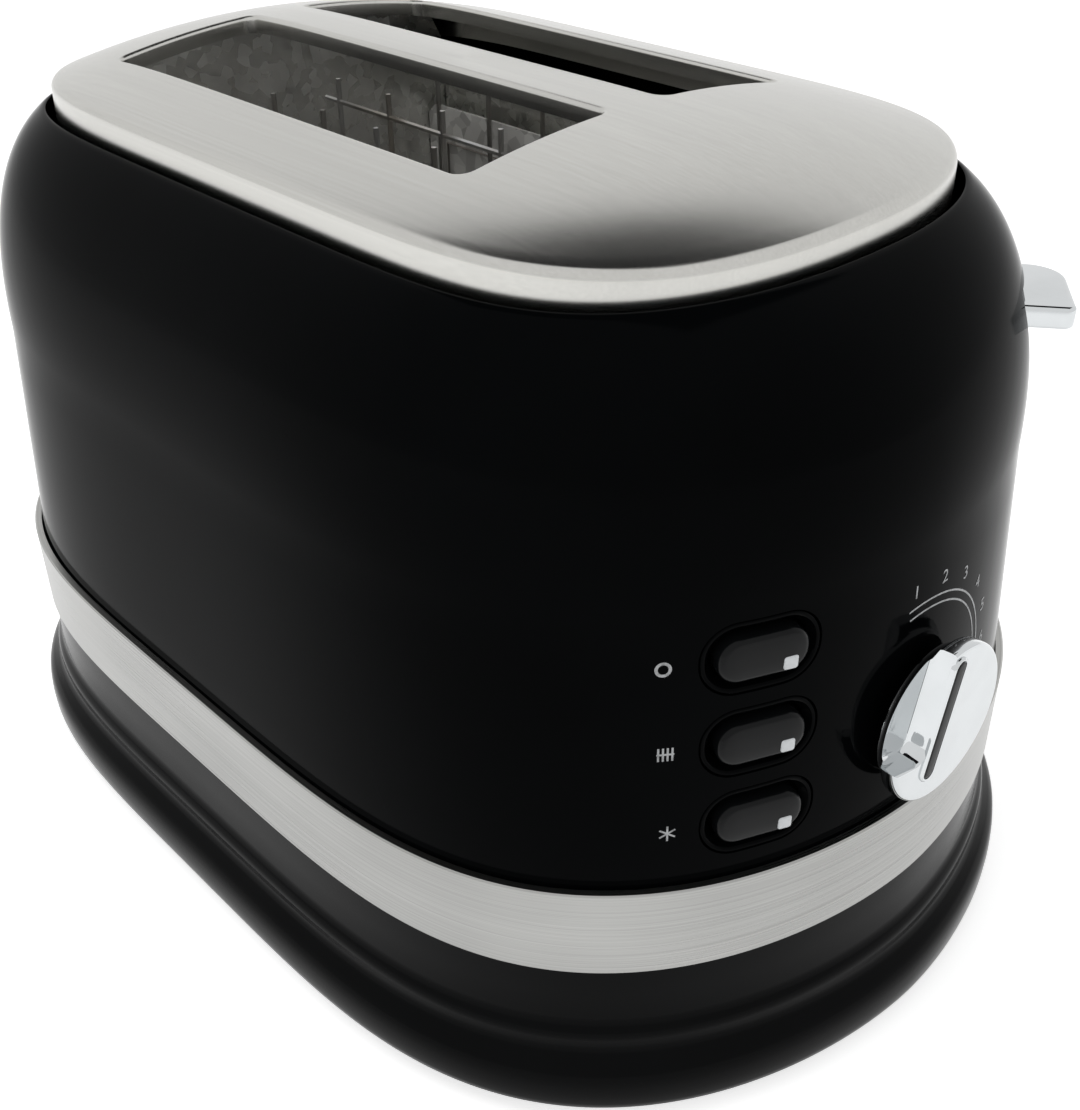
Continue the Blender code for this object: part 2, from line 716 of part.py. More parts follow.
def make_feet(bench):
    """Rubber discs with a soft lower edge and a peg that plugs into the base."""
    bottom_radius = FOOT_RADIUS - FOOT_HEIGHT / 4
    top = FOOT_HEIGHT - GAP
    profile = [(bottom_radius, 0), (FOOT_RADIUS, FOOT_HEIGHT / 4), (FOOT_RADIUS, top),
               (FOOT_PEG_RADIUS, top), (FOOT_PEG_RADIUS, FLOOR_TOP)]
    for k, (x, y) in enumerate(foot_places()):
        rings = tube_rings(profile, FOOT_POINTS, Matrix.Identity(4))
        bench.add(f"rubber_foot_{k + 1}", skin("rubber_foot", rings, capped=True), "rubber", move(x, y, 0))


def make_band(bench):
    """Steel strip round the foot of the shell, with a small chamfer on both outer edges."""
    levels = [
        (BAND_BOTTOM, -BAND_CHAMFER),
        (BAND_BOTTOM + BAND_CHAMFER, 0),
        (BAND_TOP - BAND_CHAMFER, 0),
        (BAND_TOP, -BAND_CHAMFER),
        (BAND_TOP, -BAND_THICKNESS),
        (BAND_BOTTOM, -BAND_THICKNESS),
    ]
    rings = [band_ring(z, proud) for z, proud in levels]
    bench.add("trim_band", skin("trim_band", rings, looped=True), "brushed_steel")


def key_bank_frame():
    return control_frame(-KEY_X, KEY_TOP_HEIGHT - KEY_PITCH)


def key_places():
    """For each key: its name, its frame on the shell, and how far that lies behind the frame of the bank."""
    bank = key_bank_frame()
    places = []
    for k, name in enumerate(KEY_NAMES):
        surface = control_frame(-KEY_X, KEY_TOP_HEIGHT - k * KEY_PITCH).translation
        place = Matrix.Translation(surface - bank.translation) @ bank
        places.append((name, place, (bank.inverted() @ surface).y))
    return places


def upright_prism(name, loop, near, far):
    """The outline, drawn in local X and Z, carried along local Y from near to far."""
    mesh = sheet_mesh(name, [loop], far - near)
    mesh.transform(Matrix.Translation((0, (near + far) / 2, 0)) @ Matrix.Rotation(math.pi / 2, 4, "X"))
    return mesh


def lever_frame():
    return control_frame(LEVER_X, LEVER_TOP - LEVER_THICKNESS / 2)


def channel_size():
    """Inner half width, outer half width, depth of the floor behind the surface, low and high Z."""
    inner = LEVER_WIDTH / 2 + CHANNEL_SIDE_CLEARANCE
    outer = inner + CHANNEL_WALL
    depth = LEVER_ROOT + CHANNEL_FLOOR_CLEARANCE
    low = LEVER_TOP - LEVER_THICKNESS - CARRIAGE_TRAVEL - CHANNEL_END_CLEARANCE
    return inner, outer, depth, low, LEVER_TOP + CHANNEL_END_CLEARANCE


def make_shell(bench):
    """Rolled and tapered sheet, open at the lid, with the openings for the controls."""
    rings = [shell_ring(z) for z in shell_levels()]
    shell = bench.add("body_shell", skin("body_shell", rings), "gloss_black_paint")
    thicken(shell, SHELL_THICKNESS)
    for name, place, _ in key_places():
        loop = rounded_rectangle(CUP_WIDTH, CUP_HEIGHT, CUP_HEIGHT / 2 - GAP)
        window = upright_prism("key_window", loop, -CUP_DEPTH, CUP_DEPTH)
        combine(shell, bench.tool(f"{name}_window", window, place))
    _, outer, depth, low, high = channel_size()
    frame = lever_frame()
    local = (low - frame.translation.z, high - frame.translation.z)
    reach = LEVER_REACH + OVERRUN
    window = box_mesh("lever_window", (-outer - GAP, -reach, local[0] - CHANNEL_WALL - GAP),
                      (outer + GAP, depth + CHANNEL_WALL + reach, local[1] + CHANNEL_WALL + GAP))
    combine(shell, bench.tool("lever_window", window, frame))
    half_length = shell_section(DIAL_HEIGHT)[1]
    hole = cylinder_mesh("shaft_hole", SHAFT_RADIUS + RUNNING_CLEARANCE,
                         (DIAL_X, -half_length - OVERRUN, DIAL_HEIGHT), (DIAL_X, -half_length + OVERRUN, DIAL_HEIGHT),
                         DIAL_POINTS // 2)
    combine(shell, bench.tool("shaft_hole", hole))


def shell_core(bench, name, proud):
    """The volume inside the shell's outer face, which trims what sits flush with it."""
    rings = [shell_ring(z, proud) for z in shell_levels()]
    return bench.tool(name, skin(name, rings, capped=True))


def lid_rings():
    """From the foot of the lid's turned-down rim, round its edge and in over the crown."""
    foot = RIM_Z - LID_SKIRT
    rim = plan_ring(LID_HALF_WIDTH, LID_HALF_LENGTH, LID_ACROSS_POWER, LID_ALONG_POWER, foot)
    edge_z = crown_height(rim[:, 0], rim[:, 1])
    rings = [rim]
    for turn_share in (0.0, 0.33, 0.67, 1.0):
        angle = turn_share * math.pi / 2
        inset = -LID_EDGE_RADIUS * (1 - math.cos(angle))
        ring = plan_ring(LID_HALF_WIDTH, LID_HALF_LENGTH, LID_ACROSS_POWER, LID_ALONG_POWER, foot, inset)
        ring[:, 2] = edge_z - LID_EDGE_RADIUS * (1 - math.sin(angle))
        rings.append(ring)
    for share in LID_RING_SHARES:
        ring = rings[4].copy()
        ring[:, :2] *= share
        ring[:, 2] = crown_height(ring[:, 0], ring[:, 1])
        rings.append(ring)
    return rings


def close_top(mesh, count):
    """Fills the last ring of an open skin, which is nearly flat."""
    shape = bmesh.new()
    shape.from_mesh(mesh)
    shape.verts.ensure_lookup_table()
    shape.faces.new(shape.verts[-count:])
    shape.to_mesh(mesh)
    shape.free()
    return mesh


def crown_layer(top_drop, bottom_drop):
    """The space between two lowered copies of the crown, which has the crown's own facets."""
    rings = lid_rings()[-1 - len(LID_RING_SHARES):]
    bottom = [ring - (0, 0, bottom_drop) for ring in reversed(rings)]
    return skin("crown_layer", bottom + [ring - (0, 0, top_drop) for ring in rings], capped=True)


def make_lid(bench):
    """Crowned steel lid with a turned-down rim and a folded lip round each bread slot."""
    mesh = close_top(skin("top_plate", lid_rings()), RING_POINTS)
    lid = bench.add("top_plate", mesh, "brushed_steel")
    thicken(lid, LID_THICKNESS)
    layer = bench.tool("crown_layer", crown_layer(LID_THICKNESS / 2, SLOT_LIP))
    for side in (-1, 1):
        loops = []
        for spread in (LID_THICKNESS, -LID_THICKNESS, 0):
            loops.append(rounded_rectangle(SLOT_WIDTH + 2 * spread, SLOT_LENGTH + 2 * spread, SLOT_CORNER + spread,
                                           centre=(side * SLOT_MIDDLE_X, SLOT_MIDDLE_Y)))
        height = 2 * (LID_RISE + OVERRUN)
        lip = bench.tool(f"slot_lip_{side}", sheet_mesh("slot_lip", loops[:2], height), move(0, 0, LID_TOP))
        combine(lip, layer, "INTERSECT")
        combine(lid, lip, "UNION")
        cut = sheet_mesh("slot_cut", loops[2:], height)
        combine(lid, bench.tool(f"slot_cut_{side}", cut, move(0, 0, LID_TOP)))


# Inner chassis and heaters


def upright(x, y, z):
    """A frame whose local XY plane is the world XZ plane, seen from the control end."""
    return move(x, y, z) @ Matrix.Rotation(math.pi / 2, 4, "X")


def sideways(x, y, z):
    """A frame whose local X runs along the toaster's length and local Y upwards."""
    return move(x, y, z) @ Matrix.Rotation(math.pi / 2, 4, "Z") @ Matrix.Rotation(math.pi / 2, 4, "X")


def guard_edges():
    """For each guard: name, X of its pivot, and the way its top leans."""
    edges = []
    for side, word in ((-1, "left"), (1, "right")):
        for outer in (True, False):
            half = SLOT_WIDTH / 2 - GUARD_OFF_EDGE
            x = side * SLOT_MIDDLE_X + (side if outer else -side) * half
            name = f"bread_guard_{word}_{'outer' if outer else 'inner'}"
            edges.append((name, x, -side if outer else side))
    return edges


def chassis_loops(y, front):
    """Outline of a chassis plate, whose top edge carries the crowned lid, and its holes."""
    outline = [(-CHASSIS_HALF_WIDTH, CHASSIS_BOTTOM), (CHASSIS_HALF_WIDTH, CHASSIS_BOTTOM)]
    outline.append((CHASSIS_HALF_WIDTH, CHASSIS_TOP))
    seat = CHASSIS_HALF_WIDTH - 3 * LID_EDGE_RADIUS
    for x in np.linspace(seat, -seat, CHASSIS_TOP_POINTS):
        outline.append((x, crown_height(x, y) - LID_THICKNESS - 2 * GAP))
    outline.append((-CHASSIS_HALF_WIDTH, CHASSIS_TOP))
    loops = [outline]
    for _, x, _ in guard_edges():
        loops.append(round_hole(GUARD_ROD_RADIUS + GAP, (x, GUARD_BOTTOM), points=10))
    if front:
        low = RACK_TOP - RACK_HEIGHT - CARRIAGE_TRAVEL - CHANNEL_END_CLEARANCE
        high = RACK_TOP + CHANNEL_END_CLEARANCE
        for side in (-1, 1):
            slot_width = RACK_THICKNESS + 2 * RUNNING_CLEARANCE
            centre = (side * SLOT_MIDDLE_X, (low + high) / 2)
            loops.append(rounded_rectangle(slot_width, high - low, slot_width / 3, steps=1, centre=centre))
    return loops


def make_chassis(bench):
    for name, y, front in (("chassis_front_plate", CHASSIS_FRONT_Y, True),
                           ("chassis_rear_plate", CHASSIS_BACK_Y, False)):
        mesh = sheet_mesh(name, chassis_loops(y, front), CHASSIS_THICKNESS)
        bench.add(name, mesh, "zinc_plate", upright(0, y, 0))
    length = CHASSIS_BACK_Y - CHASSIS_FRONT_Y - CHASSIS_THICKNESS - 2 * GAP
    height = CHASSIS_TOP - CHASSIS_BOTTOM - 2 * CHASSIS_CLEARANCE
    middle_z = (CHASSIS_TOP + CHASSIS_BOTTOM) / 2
    for side, word in ((-1, "left"), (1, "right")):
        x = side * (CHASSIS_HALF_WIDTH - REFLECTOR_INSET)
        loop = rounded_rectangle(length, height, POST_SIZE / 3, steps=1)
        mesh = sheet_mesh("reflector", [loop], BOARD_THICKNESS)
        bench.add(f"heat_reflector_{word}", mesh, "zinc_plate", sideways(x, SLOT_MIDDLE_Y, middle_z))


def heater_places():
    """For each heater: name, X of its board, and the side of the board that the ribbon is on."""
    places = []
    for side, word in ((-1, "left"), (1, "right")):
        outer = side * (SLOT_MIDDLE_X + SLOT_WIDTH / 2 + BOARD_OFF_SLOT)
        inner = side * (SLOT_BRIDGE / 2 - CENTRE_BOARD_OFF_SLOT)
        places.append((f"{word}_outer", outer, -side))
        places.append((f"{word}_inner", inner, side))
    return places


def ribbon_points(length, height):
    """A flat back-and-forth run of heating wire over a board, in local XY."""
    pitch = height / (RIBBON_RUNS - 1)
    points = []
    for run in range(RIBBON_RUNS):
        y = -height / 2 + run * pitch
        ends = (-length / 2, length / 2) if run % 2 == 0 else (length / 2, -length / 2)
        points += [(ends[0], y, 0), (ends[1], y, 0)]
    return points


def make_heaters(bench):
    length = CHASSIS_BACK_Y - CHASSIS_FRONT_Y - CHASSIS_THICKNESS - 2 * GAP
    height = BOARD_TOP - BOARD_BOTTOM
    middle_z = (BOARD_TOP + BOARD_BOTTOM) / 2
    for word, x, side in heater_places():
        board = sheet_mesh("heater_board", [rounded_rectangle(length, height, POST_SIZE / 3, steps=1)],
                           BOARD_THICKNESS)
        bench.add(f"heater_board_{word}", board, "mica", sideways(x, SLOT_MIDDLE_Y, middle_z))
        points = ribbon_points(length - 2 * RIBBON_END_MARGIN, height - 2 * RIBBON_EDGE_MARGIN)
        off = side * (BOARD_THICKNESS / 2 + GAP + RIBBON_RADIUS)
        ribbon = wire_mesh("heating_wire", points, RIBBON_RADIUS, resolution=0)
        bench.add(f"heating_wire_{word}", ribbon, "heating_alloy", sideways(x + off, SLOT_MIDDLE_Y, middle_z))


def make_guards(bench):
    """Wire grids beside the bread, each on a pivot rod that turns in the chassis plates."""
    first = SLOT_FRONT + GUARD_END_MARGIN
    pitch = (SLOT_LENGTH - 2 * GUARD_END_MARGIN) / (GUARD_WIRES - 1)
    front = CHASSIS_FRONT_Y - CHASSIS_THICKNESS / 2 - GUARD_ROD_RADIUS
    back = CHASSIS_BACK_Y + CHASSIS_THICKNESS / 2 + GUARD_ROD_RADIUS
    rail_z = GUARD_TOP - GUARD_BOTTOM - GUARD_RAIL_DROP
    for name, x, _ in guard_edges():
        rod = cylinder_mesh(name, GUARD_ROD_RADIUS, (0, front, 0), (0, back, 0), 8)
        guard = bench.add(name, rod, "spring_steel", move(x, 0, GUARD_BOTTOM))
        rail = cylinder_mesh("guard_rail", GUARD_WIRE_RADIUS, (0, first - GUARD_RAIL_DROP, rail_z),
                             (0, first + pitch * (GUARD_WIRES - 1) + GUARD_RAIL_DROP, rail_z), 6)
        combine(guard, bench.tool(f"{name}_rail", rail, move(x, 0, GUARD_BOTTOM)), "UNION")
        for k in range(GUARD_WIRES):
            y = first + k * pitch
            rise = GUARD_TOP - GUARD_BOTTOM
            wire = cylinder_mesh("guard_wire", GUARD_WIRE_RADIUS, (0, y, 0), (0, y, rise), 6)
            combine(guard, bench.tool(f"{name}_wire_{k}", wire, move(x, 0, GUARD_BOTTOM)), "UNION")


# Carriage, guide and latch


def rack_loop():
    """Side outline of a bread rack, from the slider to the far end of the slot, with teeth on top."""
    start = SLIDER_Y + SLIDER_THICKNESS / 2 + GAP
    end = SLOT_BACK - RACK_END_MARGIN
    toothed = SLOT_FRONT + RACK_END_MARGIN
    bottom = RACK_TOP - RACK_HEIGHT
    loop = [(start, bottom), (end, bottom)]
    pitch = (end - toothed) / RACK_TEETH
    for k in range(RACK_TEETH):
        y = end - k * pitch
        loop += [(y, RACK_TOP - RACK_TOOTH), (y - pitch / 2, RACK_TOP)]
    loop += [(toothed, RACK_TOP - RACK_TOOTH), (start, RACK_TOP - RACK_TOOTH)]
    return loop


def make_racks(bench):
    start = SLOT_FRONT + 2 * RACK_END_MARGIN
    pitch = (SLOT_LENGTH - 4 * RACK_END_MARGIN) / (RACK_PINS - 1)
    pin_z = RACK_TOP - RACK_HEIGHT / 2
    for side, word in ((-1, "left"), (1, "right")):
        x = side * SLOT_MIDDLE_X
        mesh = sheet_mesh("bread_rack", [rack_loop()], RACK_THICKNESS)
        rack = bench.add(f"bread_rack_{word}", mesh, "zinc_plate", sideways(x, 0, 0))
        for k in range(RACK_PINS):
            y = start + k * pitch
            pin = cylinder_mesh("rack_pin", RACK_PIN_RADIUS, (x - RACK_PIN_LENGTH / 2, y, pin_z),
                                (x + RACK_PIN_LENGTH / 2, y, pin_z), 6)
            combine(rack, bench.tool(f"rack_pin_{word}_{k}", pin), "UNION")


def make_slider(bench):
    """Sheet bracket that joins the two racks, the bush and the lever arm."""
    bottom = RACK_TOP - RACK_HEIGHT
    foot_top = bottom + SLIDER_FOOT_HEIGHT
    stem_right = ARM_START_X + SLIDER_STEM_HALF_WIDTH
    loop = [
        (-SLIDER_HALF_WIDTH, bottom), (SLIDER_HALF_WIDTH, bottom), (SLIDER_HALF_WIDTH, foot_top),
        (stem_right, foot_top), (stem_right, SLIDER_TOP), (-SLIDER_STEM_HALF_WIDTH, SLIDER_TOP),
        (-SLIDER_STEM_HALF_WIDTH, foot_top), (-SLIDER_HALF_WIDTH, foot_top),
    ]
    mesh = sheet_mesh("carriage_slider", [loop], SLIDER_THICKNESS)
    bench.add("carriage_slider", mesh, "zinc_plate", upright(0, SLIDER_Y, 0))
    bush_top = SLIDER_TOP
    inner = GUIDE_RADIUS + RUNNING_CLEARANCE
    profile = [(BUSH_RADIUS, 0), (BUSH_RADIUS, BUSH_HEIGHT), (inner, BUSH_HEIGHT), (inner, 0)]
    rings = tube_rings(profile, 20, Matrix.Identity(4))
    bench.add("slider_bush", skin("slider_bush", rings, looped=True), "cream_plastic",
              move(0, GUIDE_Y, bush_top - BUSH_HEIGHT))


def make_guide(bench):
    """Guide rod on its foot, standing on the base floor, with a head under the lid."""
    foot_top = FLOOR_TOP + GAP + GUIDE_CAP_HEIGHT
    top = CHASSIS_TOP
    profile = [
        (GUIDE_CAP_RADIUS, FLOOR_TOP + GAP), (GUIDE_CAP_RADIUS, foot_top), (GUIDE_RADIUS, foot_top),
        (GUIDE_RADIUS, top - GUIDE_CAP_HEIGHT), (GUIDE_CAP_RADIUS, top - GUIDE_CAP_HEIGHT),
        (GUIDE_CAP_RADIUS, top),
    ]
    rings = tube_rings(profile, 16, Matrix.Identity(4))
    bench.add("guide_rod", skin("guide_rod", rings, capped=True), "spring_steel", move(0, GUIDE_Y, 0))


def spring_points(radius, bottom, top):
    """A helix with a straight end one wire diameter long at the bottom and at the top."""
    straight = 2 * SPRING_WIRE_RADIUS
    count = SPRING_CURLS * CURL_POINTS
    turns = np.linspace(0, SPRING_CURLS, count + 1)
    rise = np.linspace(bottom + straight, top - straight, count + 1)
    x = radius * np.cos(2 * math.pi * turns)
    y = radius * np.sin(2 * math.pi * turns)
    points = [(radius, 0, bottom)] + list(zip(x, y, rise)) + [(radius, 0, top)]
    return points


def report_spring_gap(points):
    """Prints the least distance between neighbouring curls, less the wire."""
    places = np.array(points[1:-1])
    apart = places[CURL_POINTS:] - places[:-CURL_POINTS]
    gap = np.linalg.norm(apart, axis=1).min() - 2 * SPRING_WIRE_RADIUS
    print(f"carriage_spring least gap to itself: {gap * 1000:.2f} mm")


def make_spring(bench):
    radius = GUIDE_RADIUS + SPRING_CLEARANCE + SPRING_WIRE_RADIUS
    bottom = FLOOR_TOP + 2 * GAP + GUIDE_CAP_HEIGHT
    top = SLIDER_TOP - BUSH_HEIGHT - GAP
    points = spring_points(radius, bottom, top)
    report_spring_gap(points)
    bench.add("carriage_spring", wire_mesh("carriage_spring", points, SPRING_WIRE_RADIUS), "spring_steel",
              move(0, GUIDE_Y, 0))


def make_latch(bench):
    """Electromagnet on the base floor and the keeper that it holds while the bread toasts."""
    keeper_top = RACK_TOP - RACK_HEIGHT - GAP
    keeper_bottom = keeper_top - KEEPER_THICKNESS
    pole_top = keeper_bottom - CARRIAGE_TRAVEL - GAP
    half_w, half_d = MAGNET_WIDTH / 2, MAGNET_DEPTH / 2
    y = SLIDER_Y
    keeper = box_mesh("magnet_keeper", (-half_w, -half_d, keeper_bottom), (half_w, half_d, keeper_top))
    bench.add("magnet_keeper", keeper, "zinc_plate", move(MAGNET_X, y, 0), smooth=False)
    foot = FLOOR_TOP + GAP
    inner, yoke_top = half_w - MAGNET_POLE, foot + MAGNET_POLE
    loop = [
        (-half_w, foot), (half_w, foot), (half_w, pole_top), (inner, pole_top),
        (inner, yoke_top), (-inner, yoke_top), (-inner, pole_top), (-half_w, pole_top),
    ]
    bench.add("magnet_core", upright_prism("magnet_core", loop, -half_d, half_d), "zinc_plate",
              move(MAGNET_X, y, 0), smooth=False)
    low = yoke_top + GAP
    coil_radius = half_w - MAGNET_POLE - GAP
    profile = [(coil_radius, low), (coil_radius, pole_top - GAP)]
    bench.add("magnet_coil", skin("magnet_coil", tube_rings(profile, 16, Matrix.Identity(4)), capped=True),
              "copper", move(MAGNET_X, y, 0))


# Lever


def make_lever(bench):
    """Chrome tab with one sharp and one full corner, and a stem that passes through the channel."""
    frame = lever_frame()
    half = LEVER_WIDTH / 2
    corners = (LEVER_NEAR_CORNER / 2, LEVER_NEAR_CORNER / 2, LEVER_NEAR_CORNER, LEVER_FAR_CORNER)
    depth = LEVER_REACH + LEVER_ROOT
    middle = -(LEVER_REACH - LEVER_ROOT) / 2
    loop = rounded_rectangle(2 * half, depth, corners, steps=6, centre=(0, middle))
    tab = bench.add("lever_handle", sheet_mesh("lever_handle", [loop], LEVER_THICKNESS), "chrome", frame)
    round_edges(tab, LEVER_EDGE)
    stem = box_mesh("lever_stem", (-STEM_WIDTH / 2, -LEVER_REACH / 2, -LEVER_THICKNESS / 2 + LEVER_EDGE),
                    (STEM_WIDTH / 2, STEM_LENGTH, LEVER_THICKNESS / 2 - LEVER_EDGE))
    combine(tab, bench.tool("lever_stem", stem, frame), "UNION")
    end = frame @ Vector((0, STEM_LENGTH + GAP + ARM_THICKNESS / 2, 0))
    arm_y = SLIDER_Y - SLIDER_THICKNESS / 2 - GAP - ARM_THICKNESS / 2
    path = [Vector((ARM_START_X, arm_y)), Vector((ARM_BEND_X, arm_y)), Vector((end.x, end.y))]
    mesh = sheet_mesh("lever_arm", [strip_loop(path, ARM_THICKNESS)], ARM_HEIGHT)
    top = frame.translation.z + LEVER_THICKNESS / 2 - LEVER_EDGE
    bench.add("lever_arm", mesh, "zinc_plate", move(0, 0, top - ARM_HEIGHT / 2))


def strip_loop(path, thickness):
    """Outline of a strip of even thickness along a bent path, with mitred bends."""
    left, right = [], []
    for k, point in enumerate(path):
        before = (point - path[k - 1]).normalized() if k else (path[1] - path[0]).normalized()
        after = (path[k + 1] - point).normalized() if k + 1 < len(path) else before
        normal = Vector((-(before + after).y, (before + after).x)).normalized()
        reach = thickness / 2 / max(normal.dot(Vector((-before.y, before.x))), 0.5)
        left.append(point + normal * reach)
        right.append(point - normal * reach)
    return [tuple(p) for p in right + left[::-1]]


def make_channel(bench, core):
    """Black moulding let into the shell, with a flat floor for the lever and a slot for its stem."""
    inner, outer, depth, low, high = channel_size()
    frame = lever_frame()
    z = frame.translation.z
    back = depth + CHANNEL_WALL
    block = box_mesh("lever_channel", (-outer, -LEVER_REACH, low - z - CHANNEL_WALL),
                     (outer, back, high - z + CHANNEL_WALL))
    channel = bench.add("lever_channel", block, "black_plastic", frame, smooth=False)
    combine(channel, core, "INTERSECT")
    trough = box_mesh("lever_trough", (-inner, -LEVER_REACH - OVERRUN, low - z), (inner, depth, high - z))
    combine(channel, bench.tool("lever_trough", trough, frame))
    slot_half = STEM_WIDTH / 2 + RUNNING_CLEARANCE
    slot = box_mesh("stem_slot", (-slot_half, 0, low - z), (slot_half, back + OVERRUN, high - z))
    combine(channel, bench.tool("stem_slot", slot, frame))


# Dial


def dial_reach():
    """How far the back and the front of the dial lie from the middle of the toaster."""
    back = shell_section(DIAL_HEIGHT)[1] + DIAL_OFF_SHELL
    return back, back + DIAL_THICKNESS


def ridge_loop(spread):
    """Outline of the ridge that the pointer lies in, seen from the control end."""
    width, length = POINTER_WIDTH + 2 * spread, POINTER_LENGTH + 2 * spread
    return rounded_rectangle(width, length, width / 2 - GAP)


def make_dial(bench):
    """Chrome dial: a round knob with a step cut away beside the low ridge that holds the black pointer."""
    back, front = dial_reach()
    face = upright(DIAL_X, 0, DIAL_HEIGHT)
    profile = [(DIAL_RADIUS, back), (DIAL_RADIUS, front - DIAL_EDGE),
               (DIAL_RADIUS - DIAL_EDGE / 3, front - DIAL_EDGE / 3),
               (DIAL_RADIUS - DIAL_EDGE, front)]
    rings = tube_rings(profile, DIAL_POINTS, Matrix.Identity(4))
    dial = bench.add("browning_dial", skin("browning_dial", rings, capped=True), "chrome", face)
    spin = face @ Matrix.Rotation(-math.radians(POINTER_DEGREES), 4, "Z")
    pointer = spin @ move(-POINTER_OFF_AXIS, POINTER_UP_AXIS, 0)
    wall_x = -POINTER_OFF_AXIS - POINTER_WIDTH / 2 - STEP_OFF_POINTER
    reach = DIAL_RADIUS + OVERRUN
    loop = rounded_rectangle(reach + wall_x, reach + STEP_END, STEP_CORNER,
                             centre=((wall_x - reach) / 2, (reach - STEP_END) / 2))
    step = sheet_mesh("dial_step", [loop], STEP_DEPTH + OVERRUN)
    combine(dial, bench.tool("dial_step", step, spin @ move(0, 0, front + (OVERRUN - STEP_DEPTH) / 2)))
    ridge = sheet_mesh("dial_ridge", [ridge_loop(STEP_OFF_POINTER - GAP)], POINTER_RISE + DIAL_EDGE)
    tool = bench.tool("dial_ridge", ridge, pointer @ move(0, 0, front + (POINTER_RISE - DIAL_EDGE) / 2))
    round_edges(tool, POINTER_RISE / 2)
    combine(dial, tool, "UNION")
    top = front + POINTER_RISE
    pocket = sheet_mesh("pointer_pocket", [ridge_loop(GAP)], 2 * (POINTER_DEPTH + GAP))
    combine(dial, bench.tool("pointer_pocket", pocket, pointer @ move(0, 0, top)))
    seat_end = back + SHAFT_SEAT
    bore = cylinder_mesh("dial_bore", SHAFT_RADIUS + GAP, (0, 0, back - OVERRUN), (0, 0, seat_end + GAP), 20)
    combine(dial, bench.tool("dial_bore", bore, face))
    inlay = sheet_mesh("dial_pointer", [ridge_loop(0)], POINTER_DEPTH)
    bench.add("dial_pointer", inlay, "black_inlay", pointer @ move(0, 0, top - POINTER_DEPTH / 2))
    shaft_in = -dial_board_y() + DIAL_BOARD_THICKNESS / 2 + GAP + POT_DEPTH / 2
    shaft = cylinder_mesh("dial_shaft", SHAFT_RADIUS, (0, 0, shaft_in), (0, 0, seat_end), 20)
    bench.add("dial_shaft", shaft, "zinc_plate", face)


def make_dial_board(bench):
    """Board in its rails on the base floor, with the potentiometer that the dial turns."""
    y = dial_board_y()
    top = DIAL_HEIGHT + DIAL_BOARD_ABOVE_DIAL
    bottom = FLOOR_TOP + GAP
    middle = (0, (top + bottom) / 2)
    loop = rounded_rectangle(2 * DIAL_BOARD_HALF_WIDTH, top - bottom, KEY_EDGE, steps=1, centre=middle)
    bench.add("control_board", sheet_mesh("control_board", [loop], DIAL_BOARD_THICKNESS), "circuit_board",
              upright(DIAL_X, y, 0))
    face = y - DIAL_BOARD_THICKNESS / 2 - GAP
    inner = SHAFT_RADIUS + GAP
    floor = -face + POT_DEPTH / 2 - GAP
    profile = [(POT_RADIUS, -face), (POT_RADIUS, -face + POT_DEPTH), (inner, -face + POT_DEPTH), (inner, floor)]
    rings = tube_rings(profile, 24, Matrix.Identity(4))
    bench.add("browning_potentiometer", skin("potentiometer", rings, capped=True), "zinc_plate",
              upright(DIAL_X, 0, DIAL_HEIGHT))


# Keys


def cup_loop(spread):
    return rounded_rectangle(CUP_WIDTH - 2 * spread, CUP_HEIGHT - 2 * spread, CUP_HEIGHT / 2 - spread - GAP)


def make_key_bank(bench, core):
    """Three dished cups on one backing plate, let into the shell, with legs that carry the switch board."""
    frame = key_bank_frame()
    half_span = KEY_PITCH + CUP_HEIGHT / 2
    plate = box_mesh("key_housing", (-KEY_BOARD_HALF_WIDTH, CUP_DEPTH - CUP_WALL, -half_span),
                     (KEY_BOARD_HALF_WIDTH, CUP_DEPTH, half_span))
    housing = bench.add("key_housing", plate, "black_plastic", frame, smooth=False)
    for name, place, back in key_places():
        cup = upright_prism("key_cup", cup_loop(GAP), -KEY_PROUD - OVERRUN, CUP_DEPTH - CUP_WALL / 2 - back)
        tool = bench.tool(f"{name}_cup", cup, place)
        combine(tool, core, "INTERSECT")
        combine(housing, tool, "UNION")
    for name, place, back in key_places():
        dish = skin("key_dish", dish_rings(CUP_DEPTH - CUP_WALL - back), capped=True)
        combine(housing, bench.tool(f"{name}_dish", dish, place))
        bore = cylinder_mesh("key_bore", KEY_STEM_RADIUS + GAP, (0, 0, 0), (0, CUP_DEPTH + OVERRUN, 0), 12)
        combine(housing, bench.tool(f"{name}_bore", bore, place))
    for side in (-1, 1):
        x = side * (KEY_BOARD_HALF_WIDTH - CUP_WALL)
        leg = box_mesh("housing_leg", (x - CUP_WALL / 2, CUP_DEPTH - CUP_WALL / 2, CUP_WALL - half_span),
                       (x + CUP_WALL / 2, KEY_BOARD_DEPTH - KEY_BOARD_THICKNESS / 2 - GAP, half_span - CUP_WALL))
        combine(housing, bench.tool(f"housing_leg_{side}", leg, frame), "UNION")
    board = box_mesh("switch_board", (-KEY_BOARD_HALF_WIDTH, -KEY_BOARD_THICKNESS / 2, -half_span),
                     (KEY_BOARD_HALF_WIDTH, KEY_BOARD_THICKNESS / 2, half_span))
    bench.add("switch_board", board, "circuit_board", frame @ move(0, KEY_BOARD_DEPTH, 0), smooth=False)


